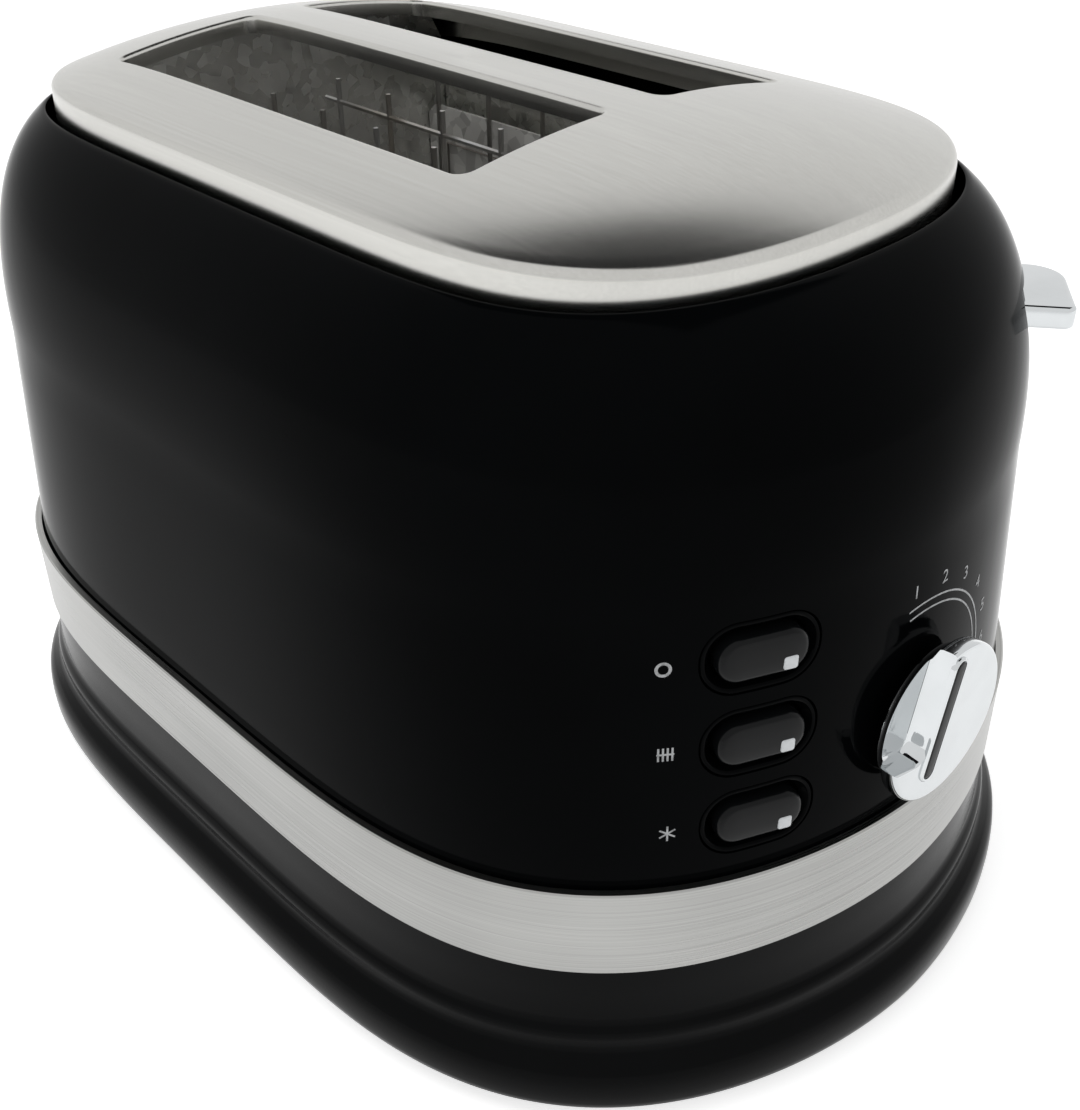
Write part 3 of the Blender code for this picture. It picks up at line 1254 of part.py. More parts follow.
def dish_rings(depth):
    """Cutter for one cup: wide at the mouth, drawn in towards the floor."""
    mouth = np.array(rounded_rectangle(CUP_WIDTH - 2 * CUP_WALL, CUP_HEIGHT - 2 * CUP_WALL,
                                       CUP_HEIGHT / 2 - CUP_WALL - GAP))
    floor = np.array(rounded_rectangle(KEY_WIDTH + 2 * RUNNING_CLEARANCE, KEY_HEIGHT + 2 * RUNNING_CLEARANCE,
                                       KEY_HEIGHT / 2 + RUNNING_CLEARANCE - GAP))
    levels = ((floor, depth), (floor, CUP_SLANT), (mouth, 0), (mouth, -OVERRUN - KEY_PROUD))
    return [np.stack([loop[:, 0], np.full(len(loop), y), loop[:, 1]], axis=1) for loop, y in levels]


def make_keys(bench):
    """Each key slides in its cup; its stem reaches the tactile switch, and its lamp window rides on it."""
    for k, (name, place, back) in enumerate(key_places()):
        loop = rounded_rectangle(KEY_WIDTH, KEY_HEIGHT, KEY_HEIGHT / 2 - GAP)
        body_back = KEY_BODY - KEY_PROUD - KEY_TRAVEL
        key = bench.add(f"{name}_key", upright_prism("key", loop, -KEY_PROUD, body_back), "black_plastic", place)
        round_edges(key, KEY_EDGE, segments=1)
        face = KEY_BOARD_DEPTH - KEY_BOARD_THICKNESS / 2 - GAP - back
        stem_end = face - SWITCH_HEIGHT - GAP - KEY_TRAVEL
        stem = cylinder_mesh("key_stem", KEY_STEM_RADIUS, (0, body_back - KEY_EDGE, 0), (0, stem_end, 0), 12)
        combine(key, bench.tool(f"{name}_stem", stem, place), "UNION")
        half = LAMP_SIZE / 2
        pocket = box_mesh("lamp_pocket", (LAMP_ACROSS - half - GAP, -KEY_PROUD - OVERRUN, -LAMP_DROP - half - GAP),
                          (LAMP_ACROSS + half + GAP, -KEY_PROUD + LAMP_DEPTH, -LAMP_DROP + half + GAP))
        combine(key, bench.tool(f"{name}_lamp_pocket", pocket, place))
        lamp = box_mesh("lamp_window", (LAMP_ACROSS - half, -KEY_PROUD - LAMP_PROUD, -LAMP_DROP - half),
                        (LAMP_ACROSS + half, -KEY_PROUD + LAMP_DEPTH - GAP, -LAMP_DROP + half))
        bench.add(f"{name}_lamp", lamp, "clear_lens", place, smooth=False)
        switch = box_mesh("key_switch", (-SWITCH_WIDTH / 2, face - SWITCH_HEIGHT, -SWITCH_WIDTH / 2),
                          (SWITCH_WIDTH / 2, face, SWITCH_WIDTH / 2))
        bench.add(f"key_switch_{k + 1}", switch, "cream_plastic", place, smooth=False)


# Crumb tray, cord outlet and fasteners


def make_tray(bench):
    """Shallow sheet tray with a moulded front that closes flush with the back of the base."""
    low, high = tray_slot_box()
    bottom = FLOOR_TOP + GAP
    front_end = SLOT_FRONT + TRAY_FRONT_MARGIN
    back_end = BAND_HALF_LENGTH - LIP_INSET - LIP_WALL - TRAY_BACK_INSET
    middle = (0, (front_end + back_end) / 2)
    outer = rounded_rectangle(2 * TRAY_HALF_WIDTH, back_end - front_end, SLOT_CORNER, steps=2, centre=middle)
    tray = bench.add("crumb_tray", sheet_mesh("crumb_tray", [outer], TRAY_DEPTH), "zinc_plate",
                     move(0, 0, bottom + TRAY_DEPTH / 2))
    hollow = rounded_rectangle(2 * TRAY_HALF_WIDTH - 2 * TRAY_WALL, back_end - front_end - 2 * TRAY_WALL,
                               SLOT_CORNER - TRAY_WALL, steps=2, centre=middle)
    cut = sheet_mesh("tray_hollow", [hollow], TRAY_DEPTH)
    combine(tray, bench.tool("tray_hollow", cut, move(0, 0, bottom + TRAY_DEPTH / 2 + TRAY_WALL)))
    volume = bench.tool("base_volume", skin("base_volume", base_rings()[: len(BASE_PROFILE_SHARES)], capped=True))
    front = box_mesh("tray_front", (low[0] + GAP, back_end + GAP, low[2] + GAP),
                     (high[0] - GAP, high[1], high[2] - GAP))
    grip = bench.add("tray_front", front, "black_plastic", smooth=False)
    combine(grip, volume, "INTERSECT")
    reach = BAND_HALF_LENGTH + FLANGE_PROUD
    scoop_y = reach - GRIP_RECESS_RADIUS / 5
    scoop_z = bottom + GRIP_RECESS_RISE - GRIP_RECESS_RADIUS
    scoop = cylinder_mesh("finger_scoop", GRIP_RECESS_RADIUS, (-TRAY_HALF_WIDTH / 2, scoop_y, scoop_z),
                          (TRAY_HALF_WIDTH / 2, scoop_y, scoop_z), 16)
    combine(grip, bench.tool("finger_scoop", scoop))


def make_outlet(bench):
    """Bush in the back of the base that the cord would leave through."""
    inner_face = BAND_HALF_LENGTH - LIP_INSET - LIP_WALL
    outer_face = BAND_HALF_LENGTH - GAP
    flange = GLAND_FLANGE_THICKNESS
    profile = [
        (GLAND_RADIUS, inner_face), (GLAND_RADIUS, outer_face + GAP), (GLAND_FLANGE_RADIUS, outer_face + GAP),
        (GLAND_FLANGE_RADIUS, outer_face + GAP + flange), (GLAND_BORE_RADIUS, outer_face + GAP + flange),
        (GLAND_BORE_RADIUS, inner_face),
    ]
    rings = tube_rings(profile, 20, Matrix.Rotation(-math.pi / 2, 4, "X"))
    bench.add("cord_outlet_bush", skin("cord_outlet_bush", rings, looped=True), "rubber", move(0, 0, GLAND_HEIGHT))


def make_contacts(bench):
    """Mains contact block on the base floor beside the magnet."""
    bottom = FLOOR_TOP + GAP
    half = CONTACT_BLOCK_WIDTH / 2
    block = box_mesh("contact_block", (-half, -CONTACT_BLOCK_DEPTH / 2, bottom),
                     (half, CONTACT_BLOCK_DEPTH / 2, bottom + CONTACT_BLOCK_HEIGHT))
    item = bench.add("contact_block", block, "cream_plastic", move(-CONTACT_BLOCK_X, SLIDER_Y, 0), smooth=False)
    round_edges(item, KEY_EDGE, segments=1)


def make_screws(bench):
    """Screws up through the base posts, their heads in the floor's underside."""
    top = CHASSIS_BOTTOM - GAP
    for k, (x, y) in enumerate(post_places()):
        head_low = FOOT_HEIGHT - GAP - SCREW_HEAD_HEIGHT
        profile = [(SCREW_HEAD_RADIUS, head_low), (SCREW_HEAD_RADIUS, FOOT_HEIGHT - GAP),
                   (SCREW_SHANK_RADIUS, FOOT_HEIGHT - GAP), (SCREW_SHANK_RADIUS, top)]
        rings = tube_rings(profile, SCREW_POINTS, Matrix.Identity(4))
        bench.add(f"base_screw_{k + 1}", skin("base_screw", rings, capped=True), "zinc_plate", move(x, y, 0))


def main():
    clear_scene()
    back_reach = BAND_HALF_LENGTH + FLANGE_PROUD
    front_reach = max(dial_reach()[1] + POINTER_RISE, back_reach)
    bench = Bench(shift=(front_reach - back_reach) / 2)
    core = shell_core(bench, "shell_core", -GAP)
    make_base(bench)
    make_feet(bench)
    make_band(bench)
    make_shell(bench)
    make_lid(bench)
    make_chassis(bench)
    make_heaters(bench)
    make_guards(bench)
    make_racks(bench)
    make_slider(bench)
    make_guide(bench)
    make_spring(bench)
    make_latch(bench)
    make_lever(bench)
    make_channel(bench, core)
    make_dial(bench)
    make_dial_board(bench)
    make_key_bank(bench, core)
    make_keys(bench)
    make_tray(bench)
    make_outlet(bench)
    make_contacts(bench)
    make_screws(bench)


if __name__ == "__main__":
    main()
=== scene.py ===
"""Looks of a two-slice toaster: smooth skins, finishes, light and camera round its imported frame."""

import json
import logging
import math
from collections.abc import Callable
from dataclasses import dataclass, field
from enum import Enum
from typing import Any

import bmesh
import bpy
import numpy as np
from mathutils import Matrix, Vector
from numpy.typing import NDArray


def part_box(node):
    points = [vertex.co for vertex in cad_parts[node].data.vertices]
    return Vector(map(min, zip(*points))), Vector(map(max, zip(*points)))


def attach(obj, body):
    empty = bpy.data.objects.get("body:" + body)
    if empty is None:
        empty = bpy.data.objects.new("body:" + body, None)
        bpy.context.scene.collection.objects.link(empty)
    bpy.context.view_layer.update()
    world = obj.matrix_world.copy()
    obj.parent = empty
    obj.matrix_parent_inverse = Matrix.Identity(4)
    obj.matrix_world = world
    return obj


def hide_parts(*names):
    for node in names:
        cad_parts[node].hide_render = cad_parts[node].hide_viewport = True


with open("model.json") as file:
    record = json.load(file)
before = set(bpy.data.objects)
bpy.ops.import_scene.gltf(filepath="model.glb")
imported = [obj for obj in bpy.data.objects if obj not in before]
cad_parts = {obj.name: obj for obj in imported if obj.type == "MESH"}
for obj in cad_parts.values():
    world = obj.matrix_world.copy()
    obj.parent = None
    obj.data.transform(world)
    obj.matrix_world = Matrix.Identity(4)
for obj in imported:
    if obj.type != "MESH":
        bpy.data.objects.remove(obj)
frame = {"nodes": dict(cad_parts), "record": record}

LOG = logging.getLogger("toaster")
Points = NDArray[np.float64]
Triple = tuple[float, float, float]
Colour = Triple
Profile = tuple[tuple[float, float], ...]
Operator = Callable[["Wire", Any], "Wire"]

AROUND = 480
OUTLINE_SAMPLES = 7200
SIDE_PIECE = 0.003
WRAP_REACH = 0.02
WRAP_STEPS = 40


class Brushing(Enum):
    """Which way the fine lines of a brushed surface run."""

    ALONG_LENGTH = "along the toaster"
    ROUND_BODY = "round the body"


# Shader tools


def arithmetic(operation: str) -> tuple[Operator, Operator]:
    """The plain and the reflected form of a wire's operator, which adds a Math node."""
    def plain(self: "Wire", other: Any) -> "Wire":
        """The wire first."""
        return self.sheet.node("Math", {0: self, 1: other}, operation=operation)

    def reflected(self: "Wire", other: Any) -> "Wire":
        """The wire second."""
        return self.sheet.node("Math", {0: other, 1: self}, operation=operation)

    return plain, reflected


class Wire:
    """A node's output socket that takes part in Python arithmetic."""

    def __init__(self, sheet: "NodeSheet", socket: bpy.types.NodeSocket) -> None:
        """Keeps the socket and the sheet that new Math nodes go on."""
        self.sheet = sheet
        self.socket = socket

    __add__, __radd__ = arithmetic("ADD")
    __sub__, __rsub__ = arithmetic("SUBTRACT")
    __mul__, __rmul__ = arithmetic("MULTIPLY")


class NodeSheet:
    """The node tree of one material or world."""

    def __init__(self, owner: bpy.types.Material | bpy.types.World) -> None:
        """Empties the owner's node tree."""
        owner.use_nodes = True
        self.owner = owner
        self.tree = owner.node_tree
        self.tree.nodes.clear()

    @staticmethod
    def _socket(sockets: Any, key: int | str) -> bpy.types.NodeSocket:
        """Finds a socket by number, identifier or name."""
        if isinstance(key, int):
            return sockets[key]
        same = [socket for socket in sockets if socket.identifier == key]
        return same[0] if same else sockets[key]

    def node(self, kind: str, inputs: dict[Any, Any] | None = None, output: int | str = 0,
             **settings: Any) -> Wire:
        """Adds a node.

        Args:
            kind: The node's type name, without its leading "ShaderNode".
            inputs: A value or a wire for each socket, by name, identifier or number.
            output: The output that is used.
            **settings: The node's own settings, set before its sockets.

        Returns:
            The wire of that output.
        """
        made = self.tree.nodes.new("ShaderNode" + kind)
        for key, value in settings.items():
            setattr(made, key, value)
        for key, value in (inputs or {}).items():
            socket = self._socket(made.inputs, key)
            if isinstance(value, Wire):
                self.tree.links.new(value.socket, socket)
            else:
                socket.default_value = (*value, 1.0) if socket.type == "RGBA" else value
        return Wire(self, self._socket(made.outputs, output))

    def place(self, scale: Triple = (1, 1, 1), source: str = "Object") -> Wire:
        """Object or UV coordinates, scaled along each axis."""
        coordinates = self.node("TexCoord", output=source)
        return self.node("Mapping", {"Vector": coordinates, "Scale": scale})

    def noise(self, place: Wire, scale: float, detail: float = 3.0, roughness: float = 0.5) -> Wire:
        """A noise between 0 and 1, mostly near its middle."""
        return self.node("TexNoise", {"Vector": place, "Scale": scale, "Detail": detail,
                                      "Roughness": roughness})

    def cells(self, place: Wire, scale: float) -> Wire:
        """A value between 0 and 1 for each Voronoi cell."""
        return self.node("RGBToBW", {0: self.node("TexVoronoi", {"Vector": place, "Scale": scale}, "Color")})

    def bands(self, place: Wire, scale: float, distortion: float) -> Wire:
        """Waves that follow one another up the vertical."""
        return self.node("TexWave", {"Vector": place, "Scale": scale, "Distortion": distortion},
                         bands_direction="Z")

    def blend(self, factor: Wire, low: Colour, high: Colour) -> Wire:
        """A colour between low and high."""
        return self.node("Mix", {"Factor_Float": factor, "A_Color": low, "B_Color": high}, "Result_Color",
                         data_type="RGBA")

    def spread(self, value: Wire, low: float, high: float) -> Wire:
        """Stretches low..high to 0..1 and clamps it."""
        return self.node("MapRange", {"Value": value, "From Min": low, "From Max": high}, clamp=True)

    def bump(self, height: Wire, depth: float) -> Wire:
        """A normal from a height of 0 to 1 that stands for depth metres."""
        return self.node("Bump", {"Height": height, "Distance": depth, "Strength": 1.0})

    def seen_directly(self) -> Wire:
        """More than 0 only where the camera, a mirror or glass looks."""
        camera, glossy, through = (self.node("LightPath", output=f"Is {kind} Ray")
                                   for kind in ("Camera", "Glossy", "Transmission"))
        return camera + glossy + through

    def close(self, shader: Wire, kind: str) -> Any:
        """Puts a shader on a new output node, World or Material, and returns the owner."""
        output = self.tree.nodes.new("ShaderNodeOutput" + kind)
        self.tree.links.new(shader.socket, output.inputs["Surface"])
        return self.owner

    def surface(self, **values: Any) -> bpy.types.Material:
        """Puts a Principled shader with these values on the output; underscores stand for spaces."""
        inputs = {key.replace("_", " "): value for key, value in values.items()}
        return self.close(self.node("BsdfPrincipled", inputs), "Material")


def tinted(colour: Colour, factor: float) -> Colour:
    """The colour times a factor, at most 1 in each channel."""
    return tuple(min(factor * part, 1.0) for part in colour)


# Finishes


@dataclass(frozen=True)
class Finish:
    """A procedural material; each kind of finish says how its channels vary."""

    name: str
    colour: Colour

    def material(self) -> bpy.types.Material:
        """Builds the material."""
        sheet = NodeSheet(bpy.data.materials.new(self.name))
        return sheet.surface(**self.channels(sheet, sheet.place()))

    def channels(self, sheet: NodeSheet, place: Wire) -> dict[str, Any]:
        """The Principled shader's inputs.

        Args:
            sheet: The sheet that the nodes go on.
            place: Object coordinates in metres.

        Returns:
            A value or a wire for each input, with underscores for spaces.
        """
        raise NotImplementedError

    def mixed(self, tone: Wire, low: float, high: float, roughness: Wire, **others: Any) -> dict[str, Any]:
        """Channels whose colour runs with tone from low to high times the finish's own."""
        colour = tone.sheet.blend(tone, tinted(self.colour, low), tinted(self.colour, high))
        return {"Base_Color": colour, "Roughness": roughness, **others}


@dataclass(frozen=True)
class Enamel(Finish):
    """Glossy enamel: nearly black, with a faint orange peel and finger smudges in its gloss."""

    name: str = "gloss_black_enamel"
    colour: Colour = (0.0012, 0.0014, 0.0016)
    gloss_roughness: float = 0.08
    peel_depth: float = 0.000004
    index: float = 1.07

    def channels(self, sheet: NodeSheet, place: Wire) -> dict[str, Any]:
        """Smudges lift the tone and dull the gloss."""
        smudge = sheet.spread(sheet.noise(place, 22, 4.0), 0.35, 0.75)
        peel = sheet.noise(place, 420, 1.0)
        return self.mixed(smudge, 1.0, 1.5, self.gloss_roughness + 0.06 * smudge, IOR=self.index,
                          Normal=sheet.bump(peel, self.peel_depth))


@dataclass(frozen=True)
class BrushedSteel(Finish):
    """Satin steel with fine lines that run one way, and slow changes of tone; a large tone_and_sheen paints
    broad highlights.
    """

    name: str = "brushed_steel"
    colour: Colour = (0.53, 0.525, 0.50)
    roughness: float = 0.25
    lines: Brushing = Brushing.ALONG_LENGTH
    tone_and_sheen: float = 0.05
    line_depth: float = 0.0000008

    def channels(self, sheet: NodeSheet, place: Wire) -> dict[str, Any]:
        """Two sizes of line and a cloud share the tone."""
        if self.lines is Brushing.ROUND_BODY:
            fine_place, wide_place = sheet.place((6, 2600, 1), "UV"), sheet.place((16, 40, 1), "UV")
        else:
            fine_place, wide_place = sheet.place((1500, 10, 1500)), sheet.place((200, 7, 200))
        fine = sheet.noise(fine_place, 1.0, 4.0, 0.6)
        # Round the body the wide noise gives broad lighter patches; on the band, with its large swing of
        # tone, they are painted highlights.
        wide = sheet.noise(wide_place, 1.0, 2.0)
        cloud = sheet.noise(place, 14, 3.0)
        shade = sheet.spread(0.6 * fine + 0.25 * wide + 0.15 * cloud, 0.35, 0.65)
        return self.mixed(shade, 1 - self.tone_and_sheen, 1 + self.tone_and_sheen,
                          self.roughness + 0.04 * (fine - 0.5) + 0.05 * (cloud - 0.5),
                          Metallic=1.0, Anisotropic=0.35, Normal=sheet.bump(fine, self.line_depth))


@dataclass(frozen=True)
class Chrome(Finish):
    """Mirror plate with a breath of smudges."""

    name: str = "polished_chrome"
    colour: Colour = (0.60, 0.62, 0.63)
    roughness: float = 0.05

    def channels(self, sheet: NodeSheet, place: Wire) -> dict[str, Any]:
        """Smudges darken and dull the mirror."""
        smudge = sheet.spread(sheet.noise(place, 90, 4.0), 0.4, 0.75)
        return self.mixed(smudge, 1.0, 0.94, self.roughness + 0.05 * smudge, Metallic=1.0)


@dataclass(frozen=True)
class Moulded(Finish):
    """Moulded plastic or rubber: a fine grain in its surface and slightly uneven gloss."""

    name: str = "black_plastic"
    colour: Colour = (0.0075, 0.0085, 0.0095)
    roughness: float = 0.30
    grain_scale: float = 1400.0
    grain_depth: float = 0.000012
    index: float = 1.2

    def channels(self, sheet: NodeSheet, place: Wire) -> dict[str, Any]:
        """Wear lifts the tone, and wear and grain vary the gloss."""
        grain = sheet.noise(place, self.grain_scale, 2.0)
        wear = sheet.spread(sheet.noise(place, 35, 4.0), 0.3, 0.7)
        return self.mixed(wear, 0.85, 1.2, self.roughness + 0.10 * wear + 0.06 * (grain - 0.5),
                          Normal=sheet.bump(grain, self.grain_depth), IOR=self.index)


@dataclass(frozen=True)
class ZincPlate(Finish):
    """Zinc-plated sheet with its crystal spangle and the shallow dents of thin sheet."""

    name: str = "zinc_plate"
    colour: Colour = (0.80, 0.80, 0.77)
    roughness: float = 0.20
    spangle: float = 420.0
    dent_depth: float = 0.0009

    def channels(self, sheet: NodeSheet, place: Wire) -> dict[str, Any]:
        """Crystals vary tone and gloss, and wide dents bend the reflections."""
        value = sheet.cells(place, self.spangle)
        haze, dents = sheet.noise(place, 40, 4.0), sheet.noise(place, 55, 2.0)
        return self.mixed(0.5 * value + 0.5 * haze, 0.75, 1.15, self.roughness + 0.14 * value,
                          Metallic=1.0, Normal=sheet.bump(dents, self.dent_depth))


@dataclass(frozen=True)
class DrawnWire(Finish):
    """Drawn metal wire, with lengthwise marks and a heat tint."""

    name: str = "spring_wire"
    colour: Colour = (0.50, 0.50, 0.50)
    tint: Colour = (0.36, 0.33, 0.29)
    roughness: float = 0.26

    def channels(self, sheet: NodeSheet, place: Wire) -> dict[str, Any]:
        """Heat changes the tone and drawing marks the gloss."""
        marks = sheet.noise(sheet.place((900, 900, 60)), 1.0, 3.0)
        heat = sheet.spread(sheet.noise(place, 30, 3.0), 0.35, 0.7)
        return {"Base_Color": sheet.blend(heat, self.colour, self.tint), "Metallic": 1.0,
                "Roughness": self.roughness + 0.16 * marks}


@dataclass(frozen=True)
class Mica(Finish):
    """Pressed mica board: flakes from grey, its colour, to silver, its light."""

    name: str = "mica_board"
    colour: Colour = (0.46, 0.45, 0.43)
    light: Colour = (0.90, 0.89, 0.86)

    def channels(self, sheet: NodeSheet, place: Wire) -> dict[str, Any]:
        """Flakes and a cloud share the tone."""
        value = sheet.cells(place, 260.0)
        shade = sheet.spread(0.55 * value + 0.45 * sheet.noise(place, 24, 5.0), 0.25, 0.75)
        return {"Base_Color": sheet.blend(shade, self.colour, self.light), "Metallic": 0.35,
                "Roughness": 0.34 + 0.3 * value, "Normal": sheet.bump(value, 0.00002)}


@dataclass(frozen=True)
class Laminate(Finish):
    """Circuit board: green lacquer over a glass weave."""

    name: str = "circuit_laminate"
    colour: Colour = (0.02, 0.11, 0.045)

    def channels(self, sheet: NodeSheet, place: Wire) -> dict[str, Any]:
        """The weave shows in all three."""
        across = sheet.bands(place, 420.0, 0.6)
        return self.mixed(across, 1.0, 1.35, 0.30 + 0.12 * across, Normal=sheet.bump(across, 0.00001))


@dataclass(frozen=True)
class Winding(Finish):
    """Enamelled copper wire, wound in close turns about the vertical."""

    name: str = "copper_winding"
    colour: Colour = (0.50, 0.20, 0.09)

    def channels(self, sheet: NodeSheet, place: Wire) -> dict[str, Any]:
        """The gaps between turns are painted shade: dark and dull."""
        turns = sheet.bands(place, 600.0, 0.1)
        # The darker tone in the gaps between turns is painted shade.
        return self.mixed(turns, 0.4, 1.0, 0.28 + 0.2 * (1 - turns), Metallic=0.9,
                          Normal=sheet.bump(turns, 0.00012))


@dataclass(frozen=True)
class Lens(Finish):
    """Clear lamp window over a pale reflector; its bright milky colour is painted highlight."""

    name: str = "lamp_lens_painted_highlight"
    colour: Colour = (0.80, 0.83, 0.85)

    def channels(self, sheet: NodeSheet, place: Wire) -> dict[str, Any]:
        """Milkier spots are paler and duller."""
        milk = sheet.noise(place, 700, 2.0)
        return self.mixed(milk, 0.8, 1.0, 0.08 + 0.1 * milk, Coat_Weight=0.6)


@dataclass(frozen=True)
class Print(Finish):
    """Pad-printed ink on the enamel, a little thin in places."""

    name: str = "printed_ink"
    colour: Colour = (0.50, 0.51, 0.52)

    def channels(self, sheet: NodeSheet, place: Wire) -> dict[str, Any]:
        """Thin ink is darker and glossier."""
        ink = sheet.spread(sheet.noise(place, 900, 3.0), 0.3, 0.6)
        return self.mixed(ink, 0.45, 1.0, 0.38 + 0.15 * ink)


BASE_PLASTIC = Moulded("black_base_plastic", (0.0016, 0.0018, 0.0020), 0.13, index=1.13)
CUP_PLASTIC = Moulded("cup_black_plastic", (0.0012, 0.0014, 0.0016), 0.10, grain_depth=0.000002, index=1.08)
KEY_PLASTIC = Moulded("key_black_plastic", (0.0030, 0.0034, 0.0038), 0.14, grain_depth=0.000002, index=1.22)
INLAY = Moulded("inlay_black", (0.004, 0.0045, 0.005), 0.25)


# Mesh tools


def even_outline(half_width: float, half_length: float, across: float, along: float, count: int,
                 proud: float = 0.0) -> Points:
    """Evenly spaced points of |x/half_width|^across + |y/half_length|^along = 1.

    Args:
        half_width: Reach along X.
        half_length: Reach along Y.
        across: Power of the X term.
        along: Power of the Y term.
        count: Number of points.
        proud: How far each point moves out along the outline's normal.

    Returns:
        Points as (count, 2), anticlockwise from +X.
    """
    angle = np.linspace(0, 2 * np.pi, OUTLINE_SAMPLES, endpoint=False)
    cosine, sine = np.cos(angle), np.sin(angle)
    x = half_width * np.sign(cosine) * np.abs(cosine) ** (2 / across)
    y = half_length * np.sign(sine) * np.abs(sine) ** (2 / along)
    x, y = resampled(np.stack([x, y], axis=1), count).T
    lean_x = np.sign(x) * across / half_width * np.abs(x / half_width) ** (across - 1)
    lean_y = np.sign(y) * along / half_length * np.abs(y / half_length) ** (along - 1)
    length = np.hypot(lean_x, lean_y)
    return np.stack([x + proud * lean_x / length, y + proud * lean_y / length], axis=1)


def resampled(loop: Points, count: int = 120) -> Points:
    """The closed loop with count evenly spaced points, from its first point on."""
    closed = np.vstack([loop, loop[:1]])
    travelled = np.concatenate([[0], np.cumsum(np.linalg.norm(np.diff(closed, axis=0), axis=1))])
    wanted = np.linspace(0, travelled[-1], count, endpoint=False)
    return np.stack([np.interp(wanted, travelled, column) for column in closed.T], axis=1)


def round_rectangle(width: float, height: float, radii: float | tuple[float, ...], steps: int = 12) -> Points:
    """Anticlockwise rectangle with round corners and evenly divided sides.

    Args:
        width: Size along X.
        height: Size along Y.
        radii: One corner radius, or four from the +X+Y corner round.
        steps: Divisions of each corner.

    Returns:
        Points as (count, 2).
    """
    four = radii if isinstance(radii, tuple) else (radii,) * 4
    corners = []
    for quarter, ((sx, sy), radius) in enumerate(zip(((1, 1), (-1, 1), (-1, -1), (1, -1)), four)):
        turn = np.pi / 2 * (quarter + np.linspace(0, 1, steps + 1))
        centre = np.array([sx * (width / 2 - radius), sy * (height / 2 - radius)])
        corners.append(centre + radius * circle(turn))
    pieces = []
    for quarter, corner in enumerate(corners):
        after = corners[(quarter + 1) % 4][0]
        parts = max(int(np.ceil(np.linalg.norm(after - corner[-1]) / SIDE_PIECE)), 1)
        share = np.linspace(0, 1, parts + 1)[1:-1, None]
        pieces += [corner, corner[-1] * (1 - share) + after * share]
    return np.concatenate(pieces)


def circle(angle: Points) -> Points:
    """Points of the unit circle at these angles."""
    return np.stack([np.cos(angle), np.sin(angle)], axis=1)


def disc(radius: float) -> Points:
    """A round outline for cutting holes."""
    return round_rectangle(2 * radius, 2 * radius, radius * 0.999)


def level(loop: Points, z: float) -> Points:
    """Plan points at height z."""
    return np.column_stack([loop, np.full(len(loop), z)])


def faced(place: Matrix, loop: Points, depth: float) -> Points:
    """Points in a place's local X and Z, carried to a depth along its local Y."""
    flat = np.column_stack([loop[:, 0], np.full(len(loop), depth), loop[:, 1], np.ones(len(loop))])
    return (flat @ np.array(place).T)[:, :3]


def grid_mesh(rings: Any, looped: bool = False) -> bpy.types.Mesh:
    """Quads between closed rings, with a UV map in metres along and across the rings.

    Args:
        rings: Points as (ring, point, 3); rings run anticlockwise and go up the outside.
        looped: Joins the last ring to the first. Otherwise both are filled.

    Returns:
        The closed mesh.
    """
    rings = np.stack(rings)
    many, count = rings.shape[:2]
    low = np.arange(many if looped else many - 1)
    high = (low + 1) % many
    k = np.arange(count)
    after = (k + 1) % count
    quads = np.stack([low[:, None] * count + k, low[:, None] * count + after,
                      high[:, None] * count + after, high[:, None] * count + k], axis=-1).reshape(-1, 4)
    faces = quads.tolist()
    if not looped:
        faces += [list(range(count))[::-1], list(range((many - 1) * count, many * count))]
    mesh = bpy.data.meshes.new("rings")
    mesh.from_pydata(rings.reshape(-1, 3), [], faces)
    step = np.linalg.norm(np.diff(rings, axis=0), axis=2).mean(axis=1)
    height = np.concatenate([[0], np.cumsum(step)])
    ring_step = np.linalg.norm(np.diff(rings[0], axis=0), axis=1)
    length = np.concatenate([[0], np.cumsum(ring_step), [ring_step.sum() + ring_step.mean()]])
    u_low, u_high = np.tile(length[k], len(low)), np.tile(length[k + 1], len(low))
    v_low = np.repeat(height[low], count)
    v_high = np.repeat(np.append(height, height[-1])[low + 1], count)
    corners = np.stack([u_low, v_low, u_high, v_low, u_high, v_high, u_low, v_high], axis=1)
    uv = np.zeros((len(mesh.loops), 2), np.float32)
    uv[: len(quads) * 4] = corners.reshape(-1, 2)
    mesh.uv_layers.new(name="run").data.foreach_set("uv", uv.ravel())
    return mesh


def prism(loop: Points, low: float, high: float) -> bpy.types.Mesh:
    """The loop in local X and Y, carried from low to high along Z, as a closed body."""
    return grid_mesh([level(loop, low), level(loop, high)])


def placed(mesh: bpy.types.Mesh, matrix: Matrix) -> bpy.types.Mesh:
    """The same mesh, moved by a matrix."""
    mesh.transform(matrix)
    return mesh


def joined(*meshes: bpy.types.Mesh) -> bpy.types.Mesh:
    """One mesh that holds all of these, which are used up."""
    shape = bmesh.new()
    for mesh in meshes:
        shape.from_mesh(mesh)
        bpy.data.meshes.remove(mesh)
    result = bpy.data.meshes.new("joined")
    shape.to_mesh(result)
    shape.free()
    return result


def linked(name: str, data: Any) -> bpy.types.Object:
    """A new object of these data, in the scene."""
    item = bpy.data.objects.new(name, data)
    bpy.context.scene.collection.objects.link(item)
    return item


def evaluated(item: bpy.types.Object) -> bpy.types.Mesh:
    """A new mesh of the object as it stands, with its modifiers; the object is removed."""
    mesh = bpy.data.meshes.new_from_object(item.evaluated_get(bpy.context.evaluated_depsgraph_get()))
    bpy.data.objects.remove(item, do_unlink=True)
    return mesh


